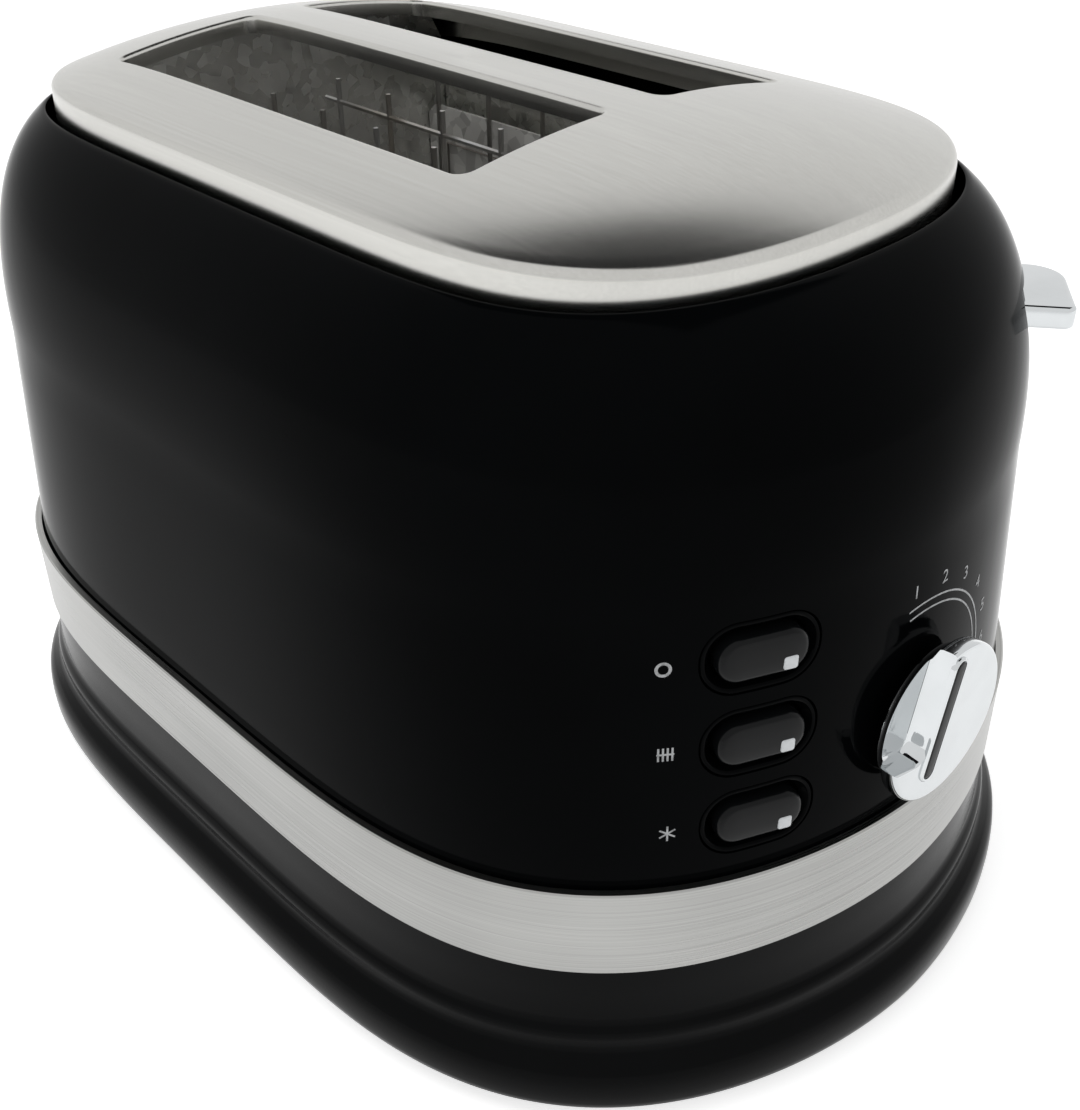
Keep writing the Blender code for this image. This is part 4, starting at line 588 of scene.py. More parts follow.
def carved(mesh: bpy.types.Mesh, tool: bpy.types.Mesh, operation: str = "DIFFERENCE") -> bpy.types.Mesh:
    """Cuts, joins or crosses a mesh with a closed tool.

    Args:
        mesh: The body. It is used up, and so is the tool.
        tool: The closed shape that works on it.
        operation: The Boolean's operation.

    Returns:
        The new mesh.
    """
    body, knife = linked("carving", mesh), linked("knife", tool)
    modifier = body.modifiers.new("carve", "BOOLEAN")
    modifier.operation = operation
    modifier.solver = "EXACT"
    modifier.object = knife
    result = evaluated(body)
    bpy.data.objects.remove(knife, do_unlink=True)
    for used in (mesh, tool):
        bpy.data.meshes.remove(used)
    return result


def upright(place: Matrix) -> Matrix:
    """Turns local XY to local XZ of the place, so that local Z points out of the surface."""
    return place @ Matrix.Rotation(math.pi / 2, 4, "X")


def direction(turn: float, rise: float) -> Vector:
    """The unit vector at a turn from -Y towards +X and a rise above level, both in degrees."""
    turn, rise = math.radians(turn), math.radians(rise)
    return Vector((math.sin(turn) * math.cos(rise), -math.cos(turn) * math.cos(rise), math.sin(rise)))


@dataclass
class Workshop:
    """Keeps the materials and adds finished pieces to the scene."""

    materials: dict[str, bpy.types.Material] = field(default_factory=dict)

    def finish(self, finish: Finish) -> bpy.types.Material:
        """The material of a finish, built once."""
        if finish.name not in self.materials:
            self.materials[finish.name] = finish.material()
        return self.materials[finish.name]

    def add(self, name: str, mesh: bpy.types.Mesh, finish: Finish, body: str, slot: str,
            replaces: tuple[str, ...] = (), sharp: float | None = 35.0) -> None:
        """Adds a piece.

        Args:
            name: The piece's name.
            mesh: Its mesh, already in place.
            finish: Its finish.
            body: The body that it rides on.
            slot: The record's material slot that it belongs to; not used.
            replaces: The nodes that it stands for.
            sharp: Edges that bend by more than this many degrees stay sharp; None leaves all smooth.
        """
        mesh.name = name
        mesh.materials.clear()
        mesh.materials.append(self.finish(finish))
        mesh.shade_smooth()
        if sharp is not None:
            mesh.set_sharp_from_angle(angle=math.radians(sharp))
        piece = linked(name, mesh)
        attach(piece, body)
        if replaces:
            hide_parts(*replaces)
        LOG.info("%s: %d faces, rides on %s", name, len(mesh.polygons), body)

    def dress(self, node: str, finish: Finish) -> None:
        """Gives a node of the frame its finish."""
        for place in frame["nodes"][node].material_slots:
            place.material = self.finish(finish)
        LOG.info("%s: dressed in %s", node, finish.name)


# Sizes of the body


@dataclass(frozen=True)
class BodyForm:
    """The body's outline and heights, which every outer piece follows."""

    half_width: float = 0.0949
    half_length: float = 0.1413
    across: float = 1.84
    along: float = 4.22
    base_bottom: float = 0.003
    base_top: float = 0.0405
    band_bottom: float = 0.0408
    band_top: float = 0.0630
    shoulder: float = 0.1220
    rim: float = 0.1745
    top: float = 0.1905
    shell_inset: float = 0.0021
    taper: float = 0.0034
    roll_height: float = 0.058
    roll_power: float = 2.3
    side_roll: float = 0.0365
    end_roll: float = 0.0420
    lid_across: float = 2.2
    lid_along: float = 6.0
    lid_inset: float = 0.0027
    crown_across: float = 0.0090
    crown_along: float = 0.0105
    middle_y: float = 0.0024

    def roll(self, z: float) -> float:
        """Share of the quarter roll at height z: 1 - sqrt(1 - rise^power)."""
        rise = np.clip((z - self.shoulder) / self.roll_height, 0, 1)
        return float(1 - np.sqrt(1 - rise**self.roll_power))

    def section(self, z: float) -> tuple[float, float, float, float]:
        """Half width, half length and powers of the shell's outline at height z."""
        share = min(max((z - self.band_top) / (self.shoulder - self.band_top), 0.0), 1.0)
        roll = self.roll(z)
        mix = roll / self.roll(self.rim)
        inset = self.shell_inset + self.taper * share
        return (self.half_width - inset - self.side_roll * roll,
                self.half_length - inset - self.end_roll * roll,
                self.across + (self.lid_across - self.across) * mix,
                self.along + (self.lid_along - self.along) * mix)

    def shell_ring(self, z: float, count: int, proud: float = 0.0) -> Points:
        """The shell's outline at height z, moved out by proud."""
        return self.lift(even_outline(*self.section(z), count, proud), z)

    def band_ring(self, z: float, count: int, proud: float = 0.0) -> Points:
        """The band's outline at height z, moved out by proud."""
        return self.lift(even_outline(self.half_width, self.half_length, self.across, self.along, count,
                                      proud), z)

    def lift(self, flat: Points, z: float | Points) -> Points:
        """Puts plan points at height z, in the frame's own place."""
        return np.column_stack([flat[:, 0], flat[:, 1] + self.middle_y, np.broadcast_to(z, len(flat))])

    def lid_half(self) -> tuple[float, float]:
        """Half width and half length of the lid."""
        half_width, half_length, _, _ = self.section(self.rim)
        return half_width - self.lid_inset, half_length - self.lid_inset

    def crown(self, flat: Points) -> Points:
        """Height of the lid: a parabola across, and a flat middle that drops at the ends."""
        half_width, half_length = self.lid_half()
        drop = (self.crown_across * np.abs(flat[:, 0] / half_width) ** 2
                + self.crown_along * np.abs(flat[:, 1] / half_length) ** 6)
        return self.top - drop

    def control_frame(self, x: float, z: float) -> Matrix:
        """A frame on the control end: local -Y points out of the shell, local Z is up."""
        half_width, half_length, across, along = self.section(z)
        y = -half_length * (1 - abs(x / half_width) ** across) ** (1 / along)
        lean_x = across / half_width * abs(x / half_width) ** (across - 1)
        lean_y = along / half_length * abs(y / half_length) ** (along - 1)
        heading = math.copysign(math.atan2(lean_x, lean_y), x)
        return Matrix.Translation((x, y + self.middle_y, z)) @ Matrix.Rotation(heading, 4, "Z")

    def wrap(self, place: Matrix, flat: Points, proud: float) -> Points:
        """Lays flat points on the control end of the shell.

        Each point moves along the place's local Y until it meets the shell's outline at its own height,
        which a bisection finds, and then out by proud.

        Args:
            place: A frame from control_frame.
            flat: Points as (count, 2) in the place's local X and Z.
            proud: Distance outside the shell.

        Returns:
            Points as (count, 3) in the frame's own place.
        """
        matrix = np.array(place)
        origin, along_x, along_y = matrix[:3, 3], matrix[:3, 0], matrix[:3, 1]
        z = origin[2] + flat[:, 1]
        half_width, half_length, across, along = np.array([self.section(float(height)) for height in z]).T
        low, high = np.full(len(flat), -WRAP_REACH), np.full(len(flat), WRAP_REACH)
        for _ in range(WRAP_STEPS):
            middle = (low + high) / 2
            x = origin[0] + flat[:, 0] * along_x[0] + middle * along_y[0]
            y = origin[1] - self.middle_y + flat[:, 0] * along_x[1] + middle * along_y[1]
            inside = np.abs(x / half_width) ** across + np.abs(y / half_length) ** along < 1
            high = np.where(inside, middle, high)
            low = np.where(inside, low, middle)
        depth = (low + high) / 2 - proud
        world = origin + flat[:, :1] * along_x + depth[:, None] * along_y
        world[:, 2] = z
        return world


# Sub-assemblies


@dataclass
class OuterShell:
    """Rolled black shell with its windows for the keys, the lever channel and the dial shaft."""

    form: BodyForm
    wall: float = 0.0012
    rim_radius: float = 0.0006
    foot_gap: float = 0.0002
    wall_rings: int = 14
    roll_rings: int = 34
    roll_spacing: float = 0.8

    def build(self, shop: Workshop, keys: "KeyBank", lever: "Lever", dial: "Dial") -> None:
        """Sweeps the wall, cuts the windows and adds the piece."""
        mesh = grid_mesh(self.rings(), looped=True)
        for tool in [*keys.window_tools(), lever.window_tool(), dial.shaft_tool()]:
            mesh = carved(mesh, tool)
        shop.add("body_shell_skin", mesh, Enamel(), "body", "gloss_black_paint", ("body_shell",),
                 sharp=40)

    def rings(self) -> list[Points]:
        """Outer face up to the rim, over its half-round edge and down the inner face."""
        form, top = self.form, self.form.rim
        straight = np.linspace(form.band_bottom + self.foot_gap, form.shoulder, self.wall_rings)
        share = np.linspace(0, 1, self.roll_rings)[1:] ** self.roll_spacing
        rolled = form.shoulder + (top - self.rim_radius - form.shoulder) * share
        heights = np.concatenate([straight, rolled])
        edge = [(top - self.rim_radius + self.rim_radius * math.sin(turn),
                 -self.wall / 2 * (1 - math.cos(turn))) for turn in np.linspace(0, np.pi, 7)[1:-1]]
        profile = [(z, 0.0) for z in heights] + edge + [(z, -self.wall) for z in heights[::-2]]
        return [form.shell_ring(float(z), AROUND, proud) for z, proud in profile]


@dataclass
class Lid:
    """Crowned steel lid: a turned-down rim with a round edge, and a folded lip round each slot."""

    form: BodyForm
    wall: float = 0.0008
    skirt: float = 0.0022
    edge_radius: float = 0.0018
    slot_width: float = 0.0385
    slot_length: float = 0.128
    slot_x: float = 0.02705
    slot_y: float = 0.0113
    corner: float = 0.003
    fold: float = 0.0011
    fold_overlap: float = 0.00003
    lip: float = 0.0042
    crown_rings: int = 46
    inner_shares: tuple[float, ...] = (0.02, 0.5, 1.0)

    def build(self, shop: Workshop) -> None:
        """Sweeps the lid, cuts the slots, folds their lips and adds the piece."""
        mesh = grid_mesh(self.rings())
        for side in (-1, 1):
            mesh = carved(mesh, self.slot_tool(side))
        mesh = joined(mesh, *(self.lip_mesh(side) for side in (-1, 1)))
        shop.add("crowned_lid", mesh, BrushedSteel("brushed_steel_lid"), "body", "brushed_steel",
                 ("top_plate",), sharp=50)

    def outline(self, proud: float = 0.0) -> Points:
        """The lid's outline in plan, moved out by proud."""
        form = self.form
        return even_outline(*form.lid_half(), form.lid_across, form.lid_along, AROUND, proud)

    def below_crown(self, flat: Points, drop: float = 0.0) -> Points:
        """Plan points, each at a drop below the crown."""
        return self.form.lift(flat, self.form.crown(flat) - drop)

    def rings(self) -> list[Points]:
        """Inner face from the middle out and down, round the foot, up the rim and in over the crown.

        The crown's rings are copies of the edge ring drawn in towards the middle; each takes its height
        from the crown, so the lid is flat nowhere.
        """
        form, radius = self.form, self.edge_radius
        base, last, wall_ring = self.outline(), self.outline(-radius), self.outline(-self.wall)
        foot = form.rim - self.skirt
        rings = [self.below_crown(last * share, self.wall) for share in self.inner_shares]
        rings += [form.lift(wall_ring, form.crown(base) - radius), form.lift(wall_ring, foot)]
        rings.append(form.lift(base, foot))
        for turn in np.linspace(0, np.pi / 2, 8):
            ring = self.outline(-radius * (1 - math.cos(turn)))
            rings.append(self.below_crown(ring, radius * (1 - math.sin(turn))))
        shares = np.linspace(1, self.inner_shares[0], self.crown_rings)[1:]
        return rings + [self.below_crown(last * share) for share in shares]

    def slot_loop(self, side: int, spread: float) -> Points:
        """Outline of a slot in plan, grown by spread."""
        loop = round_rectangle(self.slot_width + 2 * spread, self.slot_length + 2 * spread,
                               self.corner + spread)
        return loop + np.array([side * self.slot_x, self.slot_y])

    def slot_tool(self, side: int) -> bpy.types.Mesh:
        """What the slot's opening is cut with, out to where the fold begins."""
        flat = self.form.lift(self.slot_loop(side, self.fold - self.fold_overlap), 0)[:, :2]
        return prism(flat, self.form.rim - 0.01, self.form.top + 0.01)

    def lip_mesh(self, side: int) -> bpy.types.Mesh:
        """The lip: a quarter round from the lid's face, straight down, and back up inside the wall."""
        profile = [(self.fold * (1 - math.sin(turn)), self.fold * (1 - math.cos(turn)))
                   for turn in np.linspace(0, np.pi / 2, 7)]
        profile += [(0.0, self.lip), (self.wall, self.lip), (self.wall, self.fold), (self.fold, self.wall)]
        rings = [self.below_crown(self.slot_loop(side, spread), drop)[::-1] for spread, drop in profile]
        return grid_mesh(rings, looped=True)


@dataclass
class TrimBand:
    """Steel strip round the foot of the shell."""

    form: BodyForm
    thickness: float = 0.0018
    chamfer: float = 0.00035
    around: int = 720

    def build(self, shop: Workshop) -> None:
        """Sweeps the strip's closed section round the outline and adds the piece."""
        low, high, edge = self.form.band_bottom, self.form.band_top, self.chamfer
        section = [(low, -edge), (low + edge, 0.0)]
        section += [(z, 0.0) for z in np.linspace(low + edge, high - edge, 7)[1:]]
        section += [(high, -edge), (high, -self.thickness), (low, -self.thickness)]
        rings = [self.form.band_ring(float(z), self.around, proud) for z, proud in section]
        # The band's tone swings by 0.22: broad painted highlights round the body, on top of its brushed tone.
        steel = BrushedSteel("brushed_steel_band_painted_sheen", (0.36, 0.36, 0.35), 0.28, Brushing.ROUND_BODY, 0.22)
        shop.add("trim_band_strip", grid_mesh(rings, looped=True), steel, "body",
                 "brushed_steel", ("trim_band",), sharp=30)


@dataclass
class Base:
    """Moulded base: rounded flange, cove and bead, with the crumb tray's opening at the back.

    The shares are the outer face from the underside up: share of the height, and share of the flange
    that it stands out.
    """

    form: BodyForm
    flange: float = 0.0056
    lip_inset: float = 0.0036
    lip_wall: float = 0.0022
    lip_height: float = 0.007
    wall: float = 0.0024
    floor: float = 0.0025
    tray_half: float = 0.0465
    tray_back: float = 0.0873
    tray_depth: float = 0.0085
    vent_width: float = 0.003
    vent_length: float = 0.060
    vent_pitch: float = 0.012
    vent_y: float = 0.0113
    vents: int = 5
    gland_z: float = 0.0330
    gland_radius: float = 0.0053
    pocket: tuple[float, float, float] = (0.045, 0.0155, 0.005)
    shares: Profile = (
        (0.0, 0.30), (0.005, 0.60), (0.02, 0.80), (0.05, 0.95), (0.09, 1.0), (0.16, 1.02), (0.22, 1.0),
        (0.27, 0.95), (0.31, 0.85), (0.345, 0.65), (0.38, 0.40), (0.41, 0.26), (0.45, 0.21), (0.49, 0.23),
        (0.52, 0.22), (0.545, 0.16), (0.565, 0.06), (0.59, -0.04), (0.63, -0.08), (0.80, -0.11), (1.0, -0.15),
    )

    def outer_rings(self) -> list[Points]:
        """The outer face from the underside up."""
        height = self.form.base_top - self.form.base_bottom
        return [self.form.band_ring(self.form.base_bottom + share * height, AROUND, proud * self.flange)
                for share, proud in self.shares]

    def build(self, shop: Workshop) -> None:
        """Sweeps the base, cuts its openings and adds it."""
        top, floor_top = self.form.base_top, self.form.base_bottom + self.floor
        inner = -self.lip_inset - self.lip_wall
        low_inner = 0.3 * self.flange - 2 * self.wall
        inside = ((top, -self.lip_inset), (top + self.lip_height, -self.lip_inset),
                  (top + self.lip_height, inner), (floor_top + 0.010, inner),
                  (floor_top + self.wall, low_inner), (floor_top, low_inner))
        rings = self.outer_rings() + [self.form.band_ring(z, AROUND, proud) for z, proud in inside]
        mesh = grid_mesh(rings)
        for tool in self.tools():
            mesh = carved(mesh, tool)
        shop.add("base_moulding_skin", mesh, BASE_PLASTIC, "body", "black_plastic", ("base_moulding",))

    def tools(self) -> list[bpy.types.Mesh]:
        """The tray opening, the vents and the cord outlet's hole."""
        form = self.form
        floor_top = form.base_bottom + self.floor
        depth = form.half_length + self.flange + 0.01 - self.tray_back
        opening = (round_rectangle(2 * self.tray_half, depth, 0.0005, 2)
                   + np.array([0, form.middle_y + self.tray_back + depth / 2]))
        tools = [prism(opening, floor_top, floor_top + self.tray_depth)]
        vent = round_rectangle(self.vent_width, self.vent_length, self.vent_width * 0.45, 4)
        for k in range(self.vents):
            at = np.array([(k - self.vents // 2) * self.vent_pitch, self.vent_y + form.middle_y])
            tools.append(prism(vent + at, 0.0, floor_top + 0.002))
        away = Matrix.Translation((0, form.half_length + form.middle_y - 0.010, self.gland_z))
        hole = prism(disc(self.gland_radius), 0.0, 0.02)
        return [*tools, placed(hole, away @ Matrix.Rotation(-math.pi / 2, 4, "X"))]

    def build_tray_front(self, shop: Workshop, node: str, body: str) -> None:
        """The tray's front: the slice of the base's own outer form that fills the opening."""
        low, high = (np.array(corner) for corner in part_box(node))
        volume = grid_mesh(self.outer_rings())
        size = high - low + np.array([0.0, 0.02, 0.0])
        block = prism(round_rectangle(size[0], size[1], 0.0004, 2), low[2], high[2])
        placed(block, Matrix.Translation(((low[0] + high[0]) / 2, low[1] + size[1] / 2, 0)))
        front = carved(volume, block, "INTERSECT")
        pocket = prism(round_rectangle(*self.pocket, 8), low[2] - 0.02, low[2] + 0.0036)
        placed(pocket, Matrix.Translation((0, high[1] - 0.0013, 0)))
        shop.add("crumb_tray_front", carved(front, pocket), BASE_PLASTIC, body, "black_plastic", (node,))


@dataclass
class KeyBank:
    """Three keys in dished cups, one above the other, with a lamp window in each.

    Each profile holds pairs of a depth behind the shell's face and an inset from an outline.
    """

    form: BodyForm
    x: float = 0.0420
    top: float = 0.1140
    pitch: float = 0.0190
    cup_width: float = 0.0250
    cup_height: float = 0.0158
    cup_wall: float = 0.0012
    cup_depth: float = 0.0095
    slant: float = 0.0022
    gap: float = 0.0003
    key_width: float = 0.0185
    key_height: float = 0.0098
    key_proud: float = 0.0012
    key_body: float = 0.0043
    key_edge: float = 0.0013
    stem_width: float = 0.0034
    stem_radius: float = 0.00169
    stem_end: float = 0.0146
    lamp: float = 0.0029
    lamp_across: float = 0.0052
    lamp_drop: float = 0.0023
    board_depth: float = 0.022
    board_half: float = 0.015
    names: tuple[str, ...] = ("cancel", "reheat", "defrost")
    brim_profile: Profile = ((0.0006, 0.0), (0.00018, 0.00006), (0.0, 0.00025), (0.0, 0.0006),
                             (0.00012, 0.0009), (0.0004, 0.0011))
    dome_profile: Profile = ((0.00012, 0.0022), (0.00018, 0.0034), (0.0002, 0.0044))
    lamp_profile: Profile = ((0.0008, 0.0), (-0.0003, 0.0), (-0.0005, 0.0002), (-0.00055, 0.0006))

    def places(self) -> list[tuple[str, Matrix, float]]:
        """Each key's name, its frame on the shell, and its distance behind the bank's own frame."""
        bank = self.bank()
        found = []
        for k, name in enumerate(self.names):
            point = self.form.control_frame(-self.x, self.top - k * self.pitch).translation
            place = Matrix.Translation(point - bank.translation) @ bank
            found.append((name, place, (bank.inverted() @ point).y))
        return found

    def bank(self) -> Matrix:
        """The middle key's frame."""
        return self.form.control_frame(-self.x, self.top - self.pitch)

    def window_tools(self) -> list[bpy.types.Mesh]:
        """What the shell's three windows are cut with."""
        loop = round_rectangle(self.cup_width, self.cup_height, self.cup_height / 2 - self.gap)
        return [placed(prism(loop, -self.cup_depth, self.cup_depth), upright(place))
                for _, place, _ in self.places()]

    def build(self, shop: Workshop) -> None:
        """Adds the housing, the keys and the lamp windows."""
        parts = [self.cup(place, back) for _, place, back in self.places()]
        half = self.pitch + self.cup_height / 2
        bank = self.bank()
        plate = prism(round_rectangle(2 * self.board_half, 2 * half, 0.001, 4),
                      -self.cup_depth, -self.cup_depth + self.cup_wall * 0.9)
        parts.append(placed(plate, upright(bank)))
        for side in (-1, 1):
            leg = prism(round_rectangle(self.cup_wall, 2 * (half - self.cup_wall), 0.0004, 3),
                        -self.board_depth + 0.0011, -self.cup_depth + self.cup_wall * 0.4)
            x = side * (self.board_half - self.cup_wall)
            parts.append(placed(leg, upright(bank @ Matrix.Translation((x, 0, 0)))))
        shop.add("key_bank_housing", joined(*parts), CUP_PLASTIC, "body",
                 "black_plastic", ("key_housing",))
        for name, place, back in self.places():
            shop.add(f"{name}_key_cap", self.key_mesh(place, back), KEY_PLASTIC, name, "black_plastic",
                     (f"{name}_key",))
            # Each lamp window's bright pale colour is painted highlight.
            shop.add(f"{name}_lamp_window", self.lamp_mesh(place), Lens(), name, "clear_lens",
                     (f"{name}_lamp",), sharp=45)

    def cup(self, place: Matrix, back: float) -> bpy.types.Mesh:
        """A cup whose brim lies in the shell's face and whose wall draws in to the key's outline.

        Rings go from the cup's back up its outside, over a rounded brim, down the slanted wall to the
        floor, and the last one is filled.
        """
        floor_depth = self.cup_depth - self.cup_wall - back
        rings = []
        for sunk, spread in ((floor_depth, 0.0), *self.brim_profile):
            loop = round_rectangle(self.cup_width - 2 * self.gap - 2 * spread,
                                   self.cup_height - 2 * self.gap - 2 * spread,
                                   self.cup_height / 2 - 2 * self.gap - spread)
            rings.append(self.form.wrap(place, loop, -sunk))
        count = len(rings[0])
        for depth, grow in ((self.slant * 0.75, 0.0012), (self.slant, 0.0006), (floor_depth, 0.0006)):
            loop = round_rectangle(self.key_width + 2 * grow, self.key_height + 2 * grow,
                                   self.key_height / 2 + grow - self.gap)
            rings.append(faced(place, resampled(loop, count), depth))
        return grid_mesh([resampled(ring) for ring in rings])

    def key_mesh(self, place: Matrix, back: float) -> bpy.types.Mesh:
        """A round-ended cap with a domed face, and a stem that stops short of its switch."""
        profile = [(self.key_body, 0.0), (self.key_body * 0.5, 0.0), (0.0004, 0.0)]
        profile += [(-self.key_proud + self.key_edge * (1 - math.sin(turn)),
                     self.key_edge * (1 - math.cos(turn))) for turn in np.linspace(0, np.pi / 2, 7)[1:]]
        profile += [(-self.key_proud - rise, inset) for rise, inset in self.dome_profile]
        rings = []
        for depth, inset in profile:
            loop = round_rectangle(self.key_width - 2 * inset, self.key_height - 2 * inset,
                                   max(self.key_height / 2 - self.gap - inset, 0.0001))
            rings.append(resampled(faced(place, loop, depth)))
        stem_loop = round_rectangle(self.stem_width, self.stem_width, self.stem_radius, 8)
        stem = prism(stem_loop, back - self.stem_end, -self.key_body + 0.0005)
        return joined(grid_mesh(rings), placed(stem, upright(place)))

    def lamp_mesh(self, place: Matrix) -> bpy.types.Mesh:
        """A square window with soft corners that stands a hair above the key."""
        rings = []
        for depth, inset in self.lamp_profile:
            side = self.lamp - 2 * inset
            loop = round_rectangle(side, side, side * 0.18, 4) + np.array([self.lamp_across, -self.lamp_drop])
            rings.append(resampled(faced(place, loop, -self.key_proud + depth), 48))
        return grid_mesh(rings)


@dataclass
class Lever:
    """Chrome tab at the right-hand corner, and the shell's opening for the channel that it runs in."""

    form: BodyForm
    x: float = 0.0585
    top: float = 0.1526
    thickness: float = 0.005
    width: float = 0.025
    reach: float = 0.0086
    root: float = 0.0030
    corners: tuple[float, ...] = (0.0011, 0.0011, 0.0022, 0.0080)
    edge: float = 0.0011
    half_window: float = 0.0146
    low: float = 0.0723
    high: float = 0.1561
    stem_width: float = 0.0032
    stem_length: float = 0.008

    def place(self) -> Matrix:
        """The tab's frame on the shell."""
        return self.form.control_frame(self.x, self.top - self.thickness / 2)

    def window_tool(self) -> bpy.types.Mesh:
        """What the shell's opening for the channel is cut with."""
        place = self.place()
        middle = (self.low + self.high) / 2 - place.translation.z
        loop = round_rectangle(2 * self.half_window, self.high - self.low, 0.0006, 3)
        return placed(prism(loop + np.array([0, middle]), -0.018, 0.018), upright(place))

    def build(self, shop: Workshop) -> None:
        """Adds the tab with its stem."""
        flat = self.thickness / 2 - self.edge
        depth = self.reach + self.root
        centre = np.array([0, -(self.reach - self.root) / 2])
        rings = []
        for turn in np.linspace(-np.pi / 2, np.pi / 2, 13):
            inset = self.edge * (1 - math.cos(turn))
            radii = tuple(max(corner - inset, 0.0002) for corner in self.corners)
            loop = round_rectangle(self.width - 2 * inset, depth - 2 * inset, radii, 14) + centre
            rings.append(level(resampled(loop, 200), flat * np.sign(turn) + self.edge * math.sin(turn)))
        tab = grid_mesh(rings)
        stem_loop = round_rectangle(self.stem_width, self.stem_length + 0.004, 0.0004, 3)
        stem = prism(stem_loop + np.array([0, self.stem_length / 2 - 0.002]), -flat, flat)
        shop.add("lever_tab", placed(joined(tab, stem), self.place()), Chrome(), "carriage",
                 "chrome", ("lever_handle",))


@dataclass
class Dial:
    """Chrome browning dial: a round knob with a finger step beside the ridge that holds the pointer.

    The step's, ridge's and strip's profiles hold pairs of a spread or inset and a height over the face.
    """

    form: BodyForm
    height: float = 0.0860
    side: float = 0.003
    radius: float = 0.0178
    off_shell: float = 0.0014
    thickness: float = 0.0064
    edge: float = 0.0010
    step_depth: float = 0.0048
    step_wall: float = 0.0059
    step_end: float = 0.0072
    step_corner: float = 0.0030
    pointer_off: float = 0.0032
    pointer_up: float = 0.0018
    pointer_width: float = 0.0032
    pointer_length: float = 0.0268
    pointer_rise: float = 0.0006
    pointer_degrees: float = 13.5
    back_radius: float = 0.0154
    shaft_radius: float = 0.0036
    around: int = 240
    fine: int = 160

    def face(self) -> Matrix:
        """A frame on the dial's axis at the shell: local Z points out of the toaster."""
        y = -self.form.section(self.height)[1] + self.form.middle_y
        return upright(Matrix.Translation((-self.side, y, self.height)))

    def spin(self) -> Matrix:
        """Turns the dial's own upright to where the pointer stands."""
        return Matrix.Rotation(-math.radians(self.pointer_degrees), 4, "Z")

    def shaft_tool(self) -> bpy.types.Mesh:
        """What the shell's hole for the shaft is cut with."""
        return placed(prism(disc(self.shaft_radius), -0.004, 0.004), self.face())

    def build(self, shop: Workshop) -> None:
        """Adds the dial and its pointer."""
        front = self.off_shell + self.thickness
        top = front + self.pointer_rise
        pointer = self.spin() @ Matrix.Translation((-self.pointer_off, self.pointer_up, 0))
        ridge = self.pills(((-0.0009, front - 0.0005), (-0.0009, front + 0.0001), (-0.00078, front + 0.0004),
                            (-0.00055, top), (-0.00035, top), (-0.0002, top - 0.0001),
                            (-0.0002, top - 0.0007)))
        knob = carved(self.knob_mesh(front), self.step_mesh(front))
        mesh = placed(joined(knob, placed(ridge, pointer)), self.face())
        shop.add("dial_knob", mesh, Chrome("dial_chrome"), "dial", "chrome", ("browning_dial",))
        strip = self.pills(((0.0, top - 0.0006), (0.0, top - 0.00015), (0.0002, top - 0.00005),
                            (0.0008, top)))
        shop.add("dial_pointer_strip", placed(strip, self.face() @ pointer), INLAY, "dial", "black_inlay",
                 ("dial_pointer",), sharp=40)

    def knob_mesh(self, front: float) -> bpy.types.Mesh:
        """The round body: its radius falls by a quarter circle at the front edge."""
        back, flare, shoulder = self.off_shell, front - self.step_depth, front - self.edge
        profile = [(0.003, back + 0.0003), (self.back_radius - 0.0004, back),
                   (self.back_radius, back + 0.0004), (self.back_radius, flare - 0.0002),
                   (self.back_radius + 0.0003, flare + 0.0004), (self.radius - 0.0002, flare + 0.0012),
                   (self.radius, flare + 0.0018), (self.radius, shoulder)]
        profile += [(self.radius - self.edge * (1 - math.cos(turn)), shoulder + self.edge * math.sin(turn))
                    for turn in np.linspace(0, np.pi / 2, 9)[1:]]
        profile += [(share * (self.radius - self.edge), front) for share in (0.9, 0.7, 0.45, 0.2, 0.03)]
        ring = circle(np.linspace(0, 2 * np.pi, self.around, endpoint=False))
        return grid_mesh([level(radius * ring, z) for radius, z in profile])

    def step_mesh(self, front: float) -> bpy.types.Mesh:
        """What the finger step is cut with: its walls lean out by a little and its floor edge is round."""
        reach = self.radius + 0.004
        rings = []
        for spread, sunk in ((-0.0014, self.step_depth), (-0.0007, self.step_depth - 0.0002),
                             (-0.0002, self.step_depth - 0.0007), (0.0, self.step_depth - 0.0014),
                             (0.00025, 0.0006), (0.0006, 0.0), (0.0030, -0.003)):
            width, height = reach - self.step_wall + spread, reach + self.step_end + spread
            loop = round_rectangle(width, height, self.step_corner + 0.5 * spread)
            centre = np.array([(-self.step_wall + spread - reach) / 2, (reach - self.step_end - spread) / 2])
            rings.append(level(resampled(loop + centre, self.fine), front - sunk))
        return placed(grid_mesh(rings), self.spin())

    def pills(self, levels: Profile) -> bpy.types.Mesh:
        """A closed body of the pointer's outline, at pairs of an inset and a height."""
        rings = []
        for inset, z in levels:
            width, length = self.pointer_width - 2 * inset, self.pointer_length - 2 * inset
            rings.append(level(resampled(round_rectangle(width, length, width / 2 - 0.00005), self.fine), z))
        return grid_mesh(rings)


